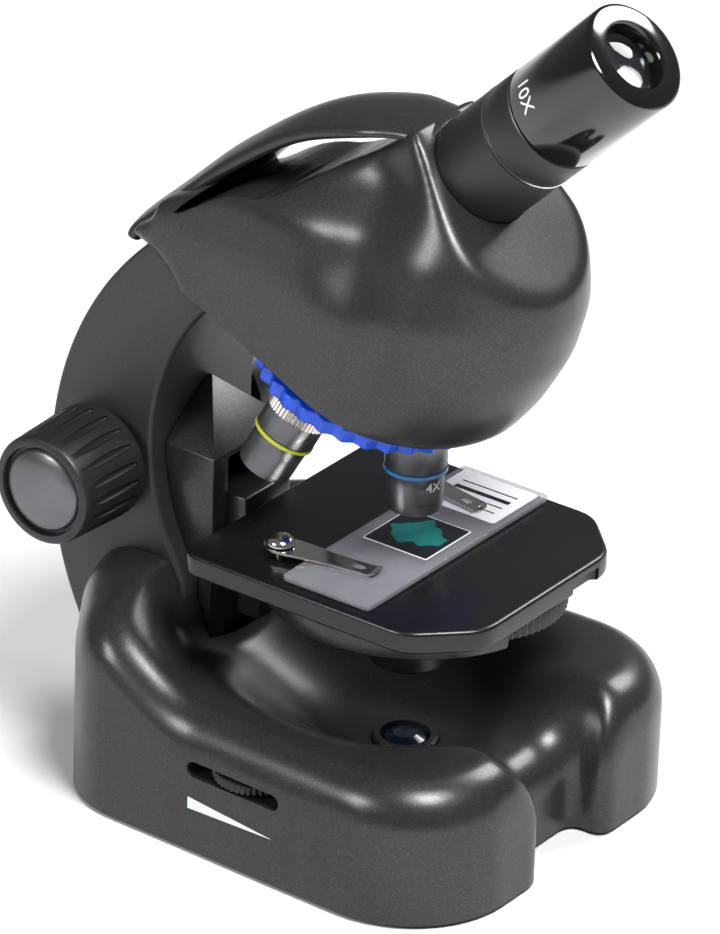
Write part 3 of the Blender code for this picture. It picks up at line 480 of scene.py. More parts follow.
# %% [markdown]
# ## The base
#
# The base is one moulding: upright walls, a rim that rolls over into a shallow dish round the
# lamp, two lobes in front with a finger recess between them, and a raised back that carries the
# arm. No single primitive has that shape. It could be built face by face, but the way a model
# maker would do it is to cut a landscape: a fine grid is pushed to the height of the top at each
# place, extruded down to a block, trimmed to the footprint, and then sanded. Here a voxel remesh
# and a smoothing pass do the sanding, and the foot is cut flat afterwards.

# %% Footprint and height of the base
LOBE_FRONT, RECESS_BACK = -0.0510, -0.0409
BASE_HALF, BASE_BACK = 0.0577, 0.0850
RIM, SHOULDER, DISH, FILLET = 0.0372, 0.0520, 0.0165, 0.0125
CELL, UNDERSIDE = 0.0013, -0.0100


def base_footprint():
    """Right half of the outline from the recess round to the back, then its mirror image."""
    lip = 0.0040
    half = [(0.0050, RECESS_BACK)] + arc((0.0098, RECESS_BACK - lip), lip, 85, 12, 6)
    half += arc((0.0172, LOBE_FRONT + lip), lip, 192, 268, 7)
    half += arc((BASE_HALF - 0.0290, LOBE_FRONT + 0.0290), 0.0290, 274, 360, 22)
    half += [(0.0571, 0.0000), (0.0562, 0.0250)]
    half += arc((0.0318, 0.0490), 0.0237, 0, 58, 14) + [(0.0300, 0.0782), (0.0150, 0.0832)]
    return half + [(-x, y) for x, y in reversed(half)]


def distance_inside(outline, xs, ys):
    """How far each point lies inside the outline, zero outside it."""
    nearest = np.full(xs.shape, 1.0)
    crossings = np.zeros(xs.shape, dtype=int)
    for (x1, y1), (x2, y2) in zip(outline, outline[1:] + outline[:1]):
        length = max((x2 - x1) ** 2 + (y2 - y1) ** 2, 1e-12)
        t = np.clip(((xs - x1) * (x2 - x1) + (ys - y1) * (y2 - y1)) / length, 0, 1)
        nearest = np.minimum(nearest, np.hypot(xs - x1 - t * (x2 - x1), ys - y1 - t * (y2 - y1)))
        if y1 != y2:
            crossings += ((y1 > ys) != (y2 > ys)) & (xs < (x2 - x1) * (ys - y1) / (y2 - y1) + x1)
    return np.where(crossings % 2 == 1, nearest, 0.0)


def base_top(xs, ys):
    """Height of the base's top before its edges are rolled."""
    valley = 0.0120 * (1 - ramp(abs(xs), 0.004, 0.026)) * (1 - ramp(ys, -0.040, -0.008))
    reach = np.hypot(xs / 0.0460, ys / np.where(ys < 0, 0.0440, 0.0760))
    bowl = DISH + (RIM - valley - DISH) * ramp(reach, 0.20, 0.98)
    side = ramp(abs(xs), 0.024, 0.050)
    rise = ramp(ys, 0.047 - 0.022 * side, 0.060)
    shoulder = SHOULDER + 0.0035 * (1 - side) - 0.04 * abs(ys - 0.060)
    return bowl + (shoulder - bowl) * rise


# %% Model the base
FOOTPRINT = base_footprint()


def model_base():
    margin = 0.008
    width, depth = 2 * BASE_HALF + margin, BASE_BACK - LOBE_FRONT + margin
    block_piece = start("grid", "base_moulding", x_subdivisions=round(width / CELL),
                        y_subdivisions=round(depth / CELL), size=1)
    mesh = block_piece.data
    points = np.empty(len(mesh.vertices) * 3, dtype=np.float32)
    mesh.vertices.foreach_get("co", points)
    points = points.reshape(-1, 3)
    points[:, 0] *= width
    points[:, 1] = points[:, 1] * depth + (BASE_BACK + LOBE_FRONT) / 2
    inset = distance_inside(FOOTPRINT, points[:, 0], points[:, 1])
    drop = FILLET - np.sqrt(FILLET ** 2 - np.maximum(FILLET - inset, 0.0) ** 2)
    points[:, 2] = base_top(points[:, 0], points[:, 1]) - drop
    mesh.vertices.foreach_set("co", points.ravel())
    bpy.ops.object.mode_set(mode="EDIT")
    bpy.ops.mesh.select_all(action="SELECT")
    bpy.ops.mesh.extrude_region_move(TRANSFORM_OT_translate={"value": (0, 0, -0.02)})
    bpy.ops.transform.resize(value=(1, 1, 0), center_override=(0, 0, UNDERSIDE))
    bpy.ops.object.mode_set(mode="OBJECT")
    tidy_mesh(block_piece)
    carve(block_piece, slab("footprint", FOOTPRINT, -0.008, 0.08), "INTERSECT")
    modify(block_piece, "REMESH", mode="VOXEL", voxel_size=0.0011, adaptivity=0.0)
    modify(block_piece, "SMOOTH", factor=0.5, iterations=14)
    return block_piece


base = model_base()
print("base landscape:", len(base.data.polygons), "faces")


# %% [markdown]
# The sanded block is now opened: the lamp's hole in the dish, the seat of the arm at the back,
# the thumbwheel's slot in the left wall, and the hollow from below, because a moulding is a
# shell. The cuts come after the sanding so that their edges stay crisp.

# %% Open the base
DIMMER = Vector(joints["dimmer_turn"]["pos_m"]) - Vector((0, hub_at.y, 0))
ARM_HALF, PILLAR_HALF = 0.0210, 0.0155


def slot_outline(length, height, count=9):
    reach = (length - height) / 2
    return arc((reach, 0), height / 2, -90, 90, count) + arc((-reach, 0), height / 2, 90, 270, count)


def open_base():
    inner = [(x * 0.955, y * 0.955 + 0.0006) for x, y in FOOTPRINT]
    carve(base, block("foot_plane", (-0.08, -0.08, -0.03), (0.08, 0.11, 0.0010)))
    hollow = slab("under_hollow", inner, -0.010, 0.0085)
    carve(hollow, block("recess_wall", (-0.0215, -0.07, -0.02), (0.0215, -0.0360, 0.02)))
    carve(base, hollow)
    mouth = [(PILLAR_HALF, 0.0492), (PILLAR_HALF, 0.0535), (ARM_HALF, 0.0535), (ARM_HALF, 0.12)]
    mouth = [(x + 0.0003, y) for x, y in mouth]
    carve(base, slab("arm_mouth", mouth + [(-x, y) for x, y in reversed(mouth)], 0.0248, 0.09))
    carve(base, lathe("lamp_hole", [(0, 0.04), (0.0085, 0.04), (0.0085, 0.0085), (0, 0.0085)], 64))
    slot = slab("dimmer_slot", slot_outline(0.0285, 0.0042), -0.0130, 0.0130)
    carve(base, carry(slot, Matrix.Translation((-BASE_HALF, DIMMER.y, DIMMER.z)) @ upright))


open_base()
dress(shade(base, 50), charcoal, "charcoal_shell", "microscope", "base_shell")

# %% [markdown]
# The white wedge beside the thumbwheel shows which way the light grows. It is ink on a curved
# wall, so a thin grid is bent onto the wall with Shrinkwrap and given the thickness of ink.

# %% The wedge mark
def model_wedge():
    wedge = start("grid", "brightness_wedge", x_subdivisions=16, y_subdivisions=4, size=1)
    tip, thick = (-0.0013, 0.0136), (0.0247, 0.0142)
    for vertex in wedge.data.vertices:
        along, up = vertex.co.x + 0.5, vertex.co.y
        y = tip[0] + (thick[0] - tip[0]) * along
        z = tip[1] + (thick[1] - tip[1]) * along + up * 0.0031 * along
        vertex.co = (-0.065, y, z)
    carry(wedge, stand)
    modify(wedge, "SHRINKWRAP", target=base, wrap_method="PROJECT", use_project_x=True, use_project_y=False,
           use_project_z=False, use_positive_direction=True, use_negative_direction=False, offset=0.00004)
    modify(wedge, "SOLIDIFY", thickness=0.00012, offset=0.0)
    return tidy_mesh(wedge, 0.0000005)


dress(model_wedge(), white_print, "white_print", "microscope", where=Matrix())

# %% [markdown]
# ## The head
#
# The head is the softest form of all: a bell over the nosepiece that narrows to the arm behind,
# and in front a hood round the tube. Between the two the flanks are drawn in to a waist. The
# bell is rolled from level sections whose half width follows one function of height and depth,
# the inclined face is sliced off, and then the whole block is remeshed and sanded so that the
# slice melts into the flanks. Only then are the crisp edges cut: the rim over the nosepiece,
# the hand hole and the bore of the tube.

# %% Sections of the head
FACE_AT, RIM_PLANE = 0.0223, 0.1110
RIM_SLOPE = math.tan(math.radians(TURRET_TILT))


def blend_table(value, table):
    """The value at a place, read off between the (place, value) pairs of a short table."""
    places, values = zip(*table)
    return float(np.interp(value, places, values))


def head_front(height):
    return blend_table(height, [(0.100, -0.0130), (0.1057, -0.0183), (0.110, -0.0245), (0.1195, -0.0312),
                                (0.132, -0.0385), (0.142, -0.0415), (0.152, -0.0415), (0.190, -0.0415)])


def head_half_width(y, height):
    """Half width of the head: wide over the nosepiece, drawn in behind the hood, narrow at the arm."""
    bell = blend_table(y, [(-0.02, 0.0312), (0.0094, 0.0306), (0.0285, 0.0266), (0.051, 0.0222),
                           (0.07, 0.0214)])
    bell -= 0.0030 * float(ramp(height, 0.140, 0.166)) * float(ramp(y, -0.02, 0.012))
    hood = blend_table(height, [(0.10, 0.030), (0.128, 0.0318), (0.145, 0.0325), (0.160, 0.0285),
                                (0.172, 0.0215), (0.186, 0.0150)])
    in_hood = 1 - float(ramp(y, -0.016, 0.004))
    width = bell + (hood - bell) * in_hood
    waist = 0.0052 * float(ramp(height, 0.138, 0.160)) * math.exp(-((y - 0.001) / 0.0115) ** 2)
    crest = 1 - float(ramp(height, 0.158, 0.176)) * 0.5 * (1 - in_hood)
    return (width - waist) * crest


def head_section(height, back, count=44):
    """One level section from the front round the right flank to the back, mirrored to the left."""
    front = head_front(height)
    right = []
    nose = 0.030
    eased = 1 - math.sqrt(0.5)
    for share in np.linspace(0, 1, count):
        crowded = 1 - math.cos(share * math.pi / 2)
        even = eased + (1 - eased) * (2 * share - 1)
        y = front + (back - front) * (crowded if share < 0.5 else even)
        round_front = math.sqrt(max(0.0, 1 - max(0.0, 1 - (y - front) / nose) ** 2))
        right.append((head_half_width(y, height) * round_front, y))
    return [(x, y) for x, y in right] + [(-x, y) for x, y in reversed(right[1:])]


def model_head():
    rings = []
    for height in np.linspace(0.098, 0.196, 50):
        back = blend_table(height, [(0.098, 0.050), (0.125, 0.070), (0.150, 0.066), (0.158, 0.050),
                                    (0.164, 0.030), (0.176, 0.010), (0.186, -0.003), (0.196, -0.010)])
        tilt = RIM_SLOPE * (1 - float(ramp(height, 0.112, 0.150)))
        rings.append([(x, y, height + tilt * (y + 0.0183) * 0.9) for x, y in head_section(height, back)])
    piece = roll("head_moulding", rings)
    carve(piece, carry(block("face_slice", (-0.07, -0.09, FACE_AT), (0.07, 0.09, 0.12)),
                       Matrix.Translation((0, 0, hub_at.z)) @ turned_about_x(45)))
    return piece


head = model_head()
print("head block:", len(head.data.polygons), "faces")


# %% [markdown]
# The bell, the inclined face and the part that runs back to the arm are joined and sanded
# together. The carrying handle is a separate strap with a crowned back and a rolled bead along
# both edges; it stays crisp and sinks into the hood in front and into the tail behind.

# %% Sand the head and open it
REAR_SIDE = [(0.0150, 0.1175), (0.0510, 0.1261), (0.0684, 0.1375), (0.0765, 0.1388), (0.0670, 0.1455),
             (0.0440, 0.1572), (0.0200, 0.1500)]
HAND_HOLE = [(0.0100, 0.1772), (0.0140, 0.1782), (0.0225, 0.1764), (0.0305, 0.1732), (0.0395, 0.1675),
             (0.0490, 0.1598), (0.0600, 0.1495), (0.0585, 0.1490), (0.0440, 0.1590), (0.0300, 0.1612)]


def finish_head(piece):
    rear = slab("head_rear", REAR_SIDE, -0.0213, 0.0213)
    soften(rear, 0.0070, 4, 40)
    carry(rear, upright)
    joined = join([piece, rear])
    modify(joined, "REMESH", mode="VOXEL", voxel_size=0.0010, adaptivity=0.0)
    modify(joined, "SMOOTH", factor=0.5, iterations=48)
    opening = [Vector(point) for point in HAND_HOLE]
    for _ in range(2):
        ahead = opening[1:] + opening[:1]
        opening = [here.lerp(after, share) for here, after in zip(opening, ahead) for share in (0.25, 0.75)]
    carve(joined, carry(slab("hand_hole", opening, -0.05, 0.05), upright))
    rim = block("rim_plane", (-0.06, -0.10, -0.0490), (0.06, 0.10, 0.0024))
    carve(joined, carry(rim, Matrix.Translation((0, 0, RIM_PLANE)) @ turned_about_x(TURRET_TILT)))
    tube_bore = lathe("tube_bore", [(0, 0.05), (0.0142, 0.05), (0.0142, 0.0100), (0, 0.0100)], 96)
    carve(joined, carry(tube_bore, Matrix.Translation((0, 0, hub_at.z)) @ turned_about_x(45)))
    well = lathe("nosepiece_well", [(0, 0.03), (0.0278, 0.03), (0.0270, 0.0), (0, 0.0)], 96)
    carry(well, Matrix.Diagonal((1.0, 1.0, -1.0, 1.0)))
    tidy_mesh(well)
    carry(well, Matrix.Translation((0, 0, 0.1250)) @ turned_about_x(TURRET_TILT)
          @ Matrix.Translation((0, 0.008, 0)))
    return carve(joined, well)


head = finish_head(head)
dress(shade(head, 45), charcoal, "charcoal_shell", "microscope", "head_shell_left", "head_shell_right")

# %% The carrying handle
STRAP_PATH = [(0.0800, 0.1365), (0.0792, 0.1392), (0.0765, 0.1420), (0.0685, 0.1492), (0.0560, 0.1615),
              (0.0505, 0.1658), (0.0408, 0.1734), (0.0317, 0.1792), (0.0233, 0.1827), (0.0142, 0.1850),
              (0.0058, 0.1867), (-0.0032, 0.1872), (-0.0080, 0.1862)]


def strap_section(half, deep, bead):
    """Crowned on top, with a bead that hangs down along each edge."""
    top = [(x * half, -0.0023 * x * x) for x in np.linspace(-1, 1, 17)]
    right = [(half + 0.0006, -0.0032), (half + 0.0007, -0.0040 - 0.0004 * bead),
             (half + 0.0001, -0.0045 - 0.0010 * bead),
             (half - 0.0012, -0.0047 - 0.0011 * bead), (half - 0.0024, -0.0047 - 0.0003 * bead)]
    under = [(x * (half - 0.0032), -deep) for x in np.linspace(1, -1, 7)]
    return top + right + under + [(-x, z) for x, z in reversed(right)]


def model_strap():
    fine = []
    for (y1, z1), (y2, z2) in zip(STRAP_PATH, STRAP_PATH[1:]):
        fine += [(y1 + (y2 - y1) * t, z1 + (z2 - z1) * t) for t in (0, 0.34, 0.67)]
    fine.append(STRAP_PATH[-1])
    for _ in range(3):
        fine = [fine[0]] + [tuple((a + 2 * b + c) / 4 for a, b, c in zip(p, q, r))
                            for p, q, r in zip(fine, fine[1:], fine[2:])] + [fine[-1]]
    rings = []
    for number, (y, z) in enumerate(fine):
        before, after = fine[max(number - 1, 0)], fine[min(number + 1, len(fine) - 1)]
        along = Vector((0, after[0] - before[0], after[1] - before[1])).normalized()
        up = Vector((0, along.z, -along.y))
        half = 0.0133 + 0.0022 * float(ramp(y, 0.060, 0.080)) - 0.0030 * float(ramp(-y, -0.012, 0.002))
        bead = float(ramp(y, 0.004, 0.024))
        rings.append([Vector((x, y, z)) + up * rise for x, rise in strap_section(half, 0.0046, bead)])
    return roll("carrying_handle", rings)


strap = model_strap()
modify(strap, "SUBSURF", levels=1, render_levels=1)
dress(shade(strap, 55), charcoal, "charcoal_shell", "microscope")


# %% [markdown]
# ## The arm and its pillar
#
# The arm is a flat-sided crescent between two arcs, moulded in a darker plastic than the head,
# with a coarser grain. Its edges are rounded enough to catch a bright line of
# light. The faceted pillar in front keeps the shape of the solid model, with softened edges.

# %% Arm and pillar
def arm_side():
    outer = arc((0.0046, 0.0715), 0.0920, -30.3, 48.5, 60)
    inner = arc((0.0046, 0.0855), 0.0602, 42.5, -31.0, 48)
    return outer + inner + [(0.0540, 0.0500), (0.0540, 0.0250)]


arm = carry(slab("arm_shell", arm_side(), -ARM_HALF, ARM_HALF), upright)
soften(arm, 0.0015, 4, 50)
dress(shade(arm), arm_plastic, "charcoal_shell", "microscope", "arm_left", "arm_right")


def refined(name, node, width, segments=3, angle=25):
    """A copy of a node of the solid model with its doubles merged and its edges rounded."""
    source = frame["nodes"][node]
    piece = start("cube", name, size=0.01)
    old = piece.data
    piece.data = source.data.copy()
    piece.data.name = name
    bpy.data.meshes.remove(old)
    tidy_mesh(piece)
    modify(piece, "DECIMATE", decimate_type="DISSOLVE", angle_limit=math.radians(2))
    return soften(piece, width, segments, angle)


for name, node in (("pillar", "focus_pillar"), ("carriage", "stage_carriage")):
    dress(shade(refined(name, node, 0.0006)), charcoal, "charcoal_shell",
          "microscope" if name == "pillar" else "stage", node, where=Matrix())


# %% [markdown]
# ## The focus knobs
#
# Each knob is turned with a slight taper. Its grip is a ring of rounded slots, which a model
# maker would mill; here a ring of drawn-out balls is cut away. A satin cap sits in the end.

# %% Knobs
KNOB = (0.0790, 0.0775)


def model_knob(side):
    label = "left" if side < 0 else "right"
    line = Matrix.Translation((side * 0.0225, *KNOB)) @ Matrix.Rotation(side * math.pi / 2, 4, "Y")
    knob = lathe(f"knob_{label}", [(0, 0.0225), (0.0114, 0.0225), (0.0118, 0.0240), (0.0130, 0.0240),
                                   (0.0138, 0.0236), (0.0142, 0.0228), (0.0150, 0.0034), (0.0148, 0.0014),
                                   (0.0138, 0.0004), (0.0120, 0.0), (0, 0.0)], 144)
    cutters = []
    for number in range(20):
        turn = Matrix.Rotation(math.radians(18 * number), 4, "Z")
        cutter = start("uv_sphere", f"slot_{number}", segments=16, ring_count=10, radius=1)
        cutter.scale = (0.0009, 0.0012, 0.0092)
        cutter.location = (0.01465, 0, 0.0122)
        cutters.append(carry(carry(cutter, Matrix()), turn))
    carve(knob, join(cutters))
    dress(carry(shade(knob, 35), line), black, "black_plastic", "focus_drive", f"focus_knob_{label}")
    cap = lathe(f"knob_end_{label}", [(0, 0.0252), (0.0030, 0.02515), (0.0070, 0.0247), (0.0098, 0.0238),
                                      (0.0106, 0.0232), (0.0110, 0.0222), (0, 0.0215)], 96)
    dress(carry(shade(cap, 40), line), gunmetal, "gunmetal", "focus_drive", f"knob_cap_{label}")


model_knob(-1)
model_knob(1)


# %% [markdown]
# ## The stage, its drum and the filter wheel
#
# The stage is a square with two cut corners at the front, moulded black with a fine grain.
# Under it hangs the drum that holds the filter wheel, whose knurled edge shows at the front.

# %% Stage
STAGE_TOP = 0.0714


def rounded(corners, radius, count=5):
    """Rounds every corner of an outline that runs anticlockwise."""
    points = []
    for number, corner in enumerate(corners):
        before, after = Vector(corners[number - 1]), Vector(corners[(number + 1) % len(corners)])
        here = Vector(corner)
        back, ahead = (before - here).normalized(), (after - here).normalized()
        reach = min(radius, (before - here).length / 2.2, (after - here).length / 2.2)
        a, b = here + back * reach, here + ahead * reach
        points += [tuple(a.lerp(here, t).lerp(here.lerp(b, t), t)) for t in np.linspace(0, 1, count)]
    return points


def stage_outline(inset=0.0):
    half, front, back, cut = 0.0402 - inset, -0.0405 + inset, 0.0405 - inset, 0.0142 - inset * 0.4
    corners = [(-half + cut, front), (half - cut, front), (half, front + cut), (half, back), (-half, back),
               (-half, front + cut)]
    return rounded(corners, 0.0045)


def model_stage():
    table = slab("stage_table", stage_outline(), STAGE_TOP - 0.0060, STAGE_TOP)
    soften(table, 0.0011, 4, 50)
    under = slab("stage_hollow", stage_outline(0.0022), 0.0600, STAGE_TOP - 0.0030)
    carve(under, block("bracket_seat", (-0.020, 0.0364, 0.05), (0.020, 0.05, 0.09)))
    carve(table, under)
    carve(table, lathe("light_hole", [(0, 0.08), (0.0060, 0.08), (0.0060, 0.05), (0, 0.05)], 48))
    notch = slab("front_notch", slot_outline(0.0110, 0.0030), 0.0600, STAGE_TOP - 0.0022)
    carve(table, carry(notch, Matrix.Translation((0.0160, -0.0400, 0))))
    return shade(table, 35)


dress(model_stage(), stage_black, "black_plastic", "stage", "stage_plate")
drum = lathe("filter_drum", [(0.0110, 0.0680), (0.0360, 0.0680), (0.0364, 0.0676), (0.0364, 0.0651),
                             (0.0380, 0.0651), (0.0385, 0.0647), (0.0385, 0.0640), (0.0380, 0.0599),
                             (0.0377, 0.0595), (0.0362, 0.0595), (0.0362, 0.0630), (0.0345, 0.0664),
                             (0.0110, 0.0664)], 128, closed=True)
carry(drum, Matrix.Translation((0, -0.0012, 0)))
carve(drum, block("drum_window", (-0.0120, -0.0500, 0.0500), (0.0260, -0.0250, 0.0664)))
carve(drum, block("drum_seat", (-0.0098, 0.0324, 0.0500), (0.0098, 0.0600, 0.0700)))
dress(shade(drum, 35), charcoal, "charcoal_shell", "stage", "stage_drum")


def ribbed_outline(radius, ribs, depth):
    """A circle whose edge rises and falls, as a knurl does."""
    return [((radius - depth * (0.5 - 0.5 * math.cos(ribs * a))) * math.cos(a),
             (radius - depth * (0.5 - 0.5 * math.cos(ribs * a))) * math.sin(a))
            for a in np.linspace(0, 2 * math.pi, ribs * 6, endpoint=False)]


WHEEL_AT = (0.0028, -0.0158)
wheel = slab("filter_disc", ribbed_outline(0.0239, 72, 0.0005), 0.0604, 0.0651)
soften(wheel, 0.0003, 2, 60)
facing, reach = math.atan2(-WHEEL_AT[1], -WHEEL_AT[0]), math.hypot(*WHEEL_AT)
for number in range(6):
    angle = facing + number * math.pi / 3
    hole = lathe("aperture", [(0, 0.08), (0.0048 - 0.0006 * number, 0.08),
                              (0.0048 - 0.0006 * number, 0.05), (0, 0.05)], 40)
    carve(wheel, carry(hole, Matrix.Translation((reach * math.cos(angle), reach * math.sin(angle), 0))))
dress(carry(shade(wheel, 35), Matrix.Translation((*WHEEL_AT, 0))), black, "black_plastic", "filter_wheel",
      "filter_wheel")
cup = lathe("condenser", [(0.0055, 0.0601), (0.0092, 0.0601), (0.0100, 0.0594), (0.0100, 0.0520),
                          (0.0097, 0.0517), (0.0097, 0.0511), (0.0100, 0.0508), (0.0100, 0.0403),
                          (0.0094, 0.0396), (0.0086, 0.0395), (0.0066, 0.0407), (0.0055, 0.0430)], 96,
            closed=True)
dress(shade(cup, 35), black, "black_plastic", "stage", "condenser_cup")


# %% [markdown]
# ## Clips, slide and specimen
#
# A clip is a strip of nickel-plated spring steel, wide at its screw, narrow towards the tip, with
# an oval window and a tip that turns up. It is a flat grid whose points are laid to that outline,
# with the window's faces taken out, given the thickness of the sheet.

# %% Clips
CLIP_AT = (0.0257, 0.0212)


def model_clip(side):
    label = "left" if side < 0 else "right"
    across, along, length, back = 12, 64, 0.0315, 0.0042
    strip = start("grid", f"spring_clip_{label}", x_subdivisions=across, y_subdivisions=along, size=1)
    for vertex in strip.data.vertices:
        u, t = vertex.co.x * 2, 0.5 - vertex.co.y
        from_back, from_tip = t * length, (1 - t) * length
        half = 0.0042 - 0.0015 * float(ramp(t, 0.15, 0.75))
        half *= math.sqrt(max(0.0, 1 - max(0.0, 1 - from_back / back) ** 2))
        half *= math.sqrt(max(0.0, 1 - max(0.0, 1 - from_tip / 0.0016) ** 2))
        lift = 0.0021 * float(ramp(t, 0.93, 1.06)) - 0.0003 * float(ramp(t, 0.30, 0.90))
        vertex.co = (u * max(half, 0.00002), back - from_back, 0.0740 + lift)
    bm = bmesh.new()
    bm.from_mesh(strip.data)
    middle, reach_x, reach_y = -0.0212, 0.0011, 0.0024
    window = [face for face in bm.faces if (face.calc_center_median().x / reach_x) ** 2
              + ((face.calc_center_median().y - middle) / reach_y) ** 2 < 1]
    bmesh.ops.delete(bm, geom=window, context="FACES")
    bm.to_mesh(strip.data)
    bm.free()
    modify(strip, "SOLIDIFY", thickness=0.0005, offset=-1)
    soften(strip, 0.00012, 2, 40)
    lean = Matrix.Rotation(math.radians(side * -8.5), 4, "Z")
    dress(carry(shade(strip, 35), Matrix.Translation((side * CLIP_AT[0], CLIP_AT[1], 0)) @ lean), nickel,
          "nickel", f"clip_{label}", f"clip_{label}")
    head_of_screw = lathe(f"clip_pin_{label}", [(0, 0.0766), (0.0012, 0.0765), (0.0024, 0.0761),
                                                (0.0033, 0.0754), (0.0036, 0.0747), (0.0036, 0.0743),
                                                (0.0024, 0.0742), (0.0015, 0.0742), (0.0015, 0.0700),
                                                (0, 0.0700)], 64)
    for turn in (35, 125):
        arm_cut = block("cross", (-0.0017, -0.0003, 0.0757), (0.0017, 0.0003, 0.0780))
        carve(head_of_screw, carry(arm_cut, Matrix.Rotation(math.radians(turn), 4, "Z")))
    dress(carry(shade(head_of_screw, 35), Matrix.Translation((side * CLIP_AT[0], CLIP_AT[1], 0))), nickel,
          "nickel", "stage", f"clip_screw_{label}")


model_clip(-1)
model_clip(1)


# %% Slide
def box_outline(half_x, half_y, radius):
    return rounded([(-half_x, -half_y), (half_x, -half_y), (half_x, half_y), (-half_x, half_y)], radius)


def flat_piece(name, outline, low, thick, material, slot, *nodes, at=(0.0, 0.0), edge=0.0):
    piece = slab(name, outline, low, low + thick)
    if edge:
        soften(piece, edge, 2, 50)
    carry(piece, Matrix.Translation((SLIDE_AT[0] + at[0], SLIDE_AT[1] + at[1], 0)))
    return dress(shade(piece, 30), material, slot, "slide", *nodes)


SLIDE_AT, SLIDE_LOW, SLIDE_TOP = (0.0010, -0.0005), 0.0717, 0.0730
flat_piece("slide_plate", box_outline(0.0380, 0.0130, 0.0016), SLIDE_LOW, 0.0013, slide_glass,
           "clear_glass", "specimen_slide", edge=0.0002)
flat_piece("cover_border", box_outline(0.0096, 0.0096, 0.0006), SLIDE_TOP, 0.00010, white_print,
           "white_print")
flat_piece("cover_field", box_outline(0.0092, 0.0092, 0.0005), SLIDE_TOP + 0.00010, 0.00008, dark_mount,
           "specimen", "cover_glass")
blob = []
for a in np.linspace(0, 2 * math.pi, 90, endpoint=False):
    wide = 0.0062 + 0.0011 * math.sin(3 * a + 0.8) + 0.0007 * math.sin(7 * a) + 0.0004 * math.sin(13 * a)
    tall = 0.0070 + 0.0009 * math.cos(4 * a) + 0.0005 * math.sin(9 * a)
    blob.append((wide * math.cos(a), tall * math.sin(a)))
flat_piece("specimen_leaf", blob, SLIDE_TOP + 0.00018, 0.00006, teal, "specimen", at=(0.0002, -0.0003))
LABEL_AT = (0.0262, 0.0)
flat_piece("slide_label", box_outline(0.0098, 0.0112, 0.0010), SLIDE_TOP, 0.00010, white_print,
           "paper_label", at=LABEL_AT)
for number in range(4):
    flat_piece(f"label_line_{number}", box_outline(0.0008 if number == 2 else 0.00025, 0.0082, 0.0001),
               SLIDE_TOP + 0.00010, 0.00004, dark_mount, "paper_label",
               at=(LABEL_AT[0] - 0.0052 + number * 0.0033, 0))


# %% [markdown]
# ## The tube and the eyepiece
#
# All of it is turned: the black tube, a thin bright washer, a satin collar and the polished
# black barrel with its recessed lens.

# %% Tube and eyepiece
def turned_on(line, name, profile, material, slot, body, *nodes, sides=96, closed=False):
    return dress(shade(lathe(name, profile, sides, closed), 35), material, slot, body, *nodes, where=line)


turned_on(tube_line, "tube_sleeve", [(0.0119, 0.0400), (0.0135, 0.0400), (0.0139, 0.0396),
                                     (0.0139, 0.0120), (0.0119, 0.0120)], tube_black, "black_plastic",
          "microscope", "eyepiece_tube", closed=True)
turned_on(tube_line, "bright_washer", [(0.0119, 0.0404), (0.0138, 0.0404), (0.0140, 0.0402),
                                       (0.0138, 0.0400), (0.0119, 0.0400)], nickel, "nickel", "eyepiece",
          closed=True)
turned_on(tube_line, "satin_collar", [(0.0100, 0.0503), (0.0134, 0.0503), (0.0138, 0.0500),
                                      (0.0139, 0.0496), (0.0139, 0.0410), (0.0137, 0.0405),
                                      (0.0116, 0.0403), (0.0116, 0.0180), (0.0100, 0.0180)], black,
          "black_plastic", "eyepiece", "eyepiece_collar", closed=True)
turned_on(tube_line, "eyepiece_shell", [(0.0076, 0.0760), (0.0080, 0.0788), (0.0084, 0.0803),
                                        (0.0088, 0.0807), (0.0126, 0.0807), (0.0133, 0.0805),
                                        (0.0138, 0.0800), (0.0139, 0.0793), (0.0139, 0.0512),
                                        (0.0137, 0.0508), (0.0076, 0.0507)], gloss_black, "gloss_black",
          "eyepiece", "eyepiece_barrel", closed=True)
turned_on(tube_line, "viewing_lens", [(0, 0.0786), (0.0020, 0.07853), (0.0042, 0.0782), (0.0062, 0.0776),
                                      (0.0078, 0.0768), (0.0078, 0.0750), (0, 0.0750)], lens_glass,
          "clear_glass", "eyepiece", "eye_lens")
turned_on(tube_line, "lens_floor", [(0, 0.0742), (0.0077, 0.0742), (0.0077, 0.0738), (0, 0.0738)],
          gloss_black, "gloss_black", "eyepiece")


def wrapped_print(name, words, size, radius, height, angle, turn, line, body):
    """A number printed round a turned piece: its flat outline is wrapped onto the barrel."""
    bpy.ops.object.select_all(action="DESELECT")
    bpy.ops.object.text_add()
    text = bpy.context.object
    text.data.body, text.data.size = words, size
    text.data.align_x, text.data.align_y = "CENTER", "CENTER"
    bpy.ops.object.convert(target="MESH")
    text = bpy.context.object
    text.name = text.data.name = name
    carry(text, Matrix.Rotation(math.radians(turn), 4, "Z"))
    for vertex in text.data.vertices:
        a = math.radians(angle) + vertex.co.x / radius
        vertex.co = (radius * math.cos(a), radius * math.sin(a), height + vertex.co.y)
    modify(text, "SOLIDIFY", thickness=0.00008, offset=1.0)
    return dress(text, white_print, "white_print", body, where=line)


wrapped_print("eyepiece_number", "10X", 0.0052, 0.01392, 0.0560, 150, 0, tube_line, "eyepiece")


# %% [markdown]
# ## The nosepiece and its objectives
#
# The nosepiece is a blue disc with a scalloped edge and three short bosses. The objectives are
# turned barrels, each with a flange, a milled grip, a coloured ring and a front lens.

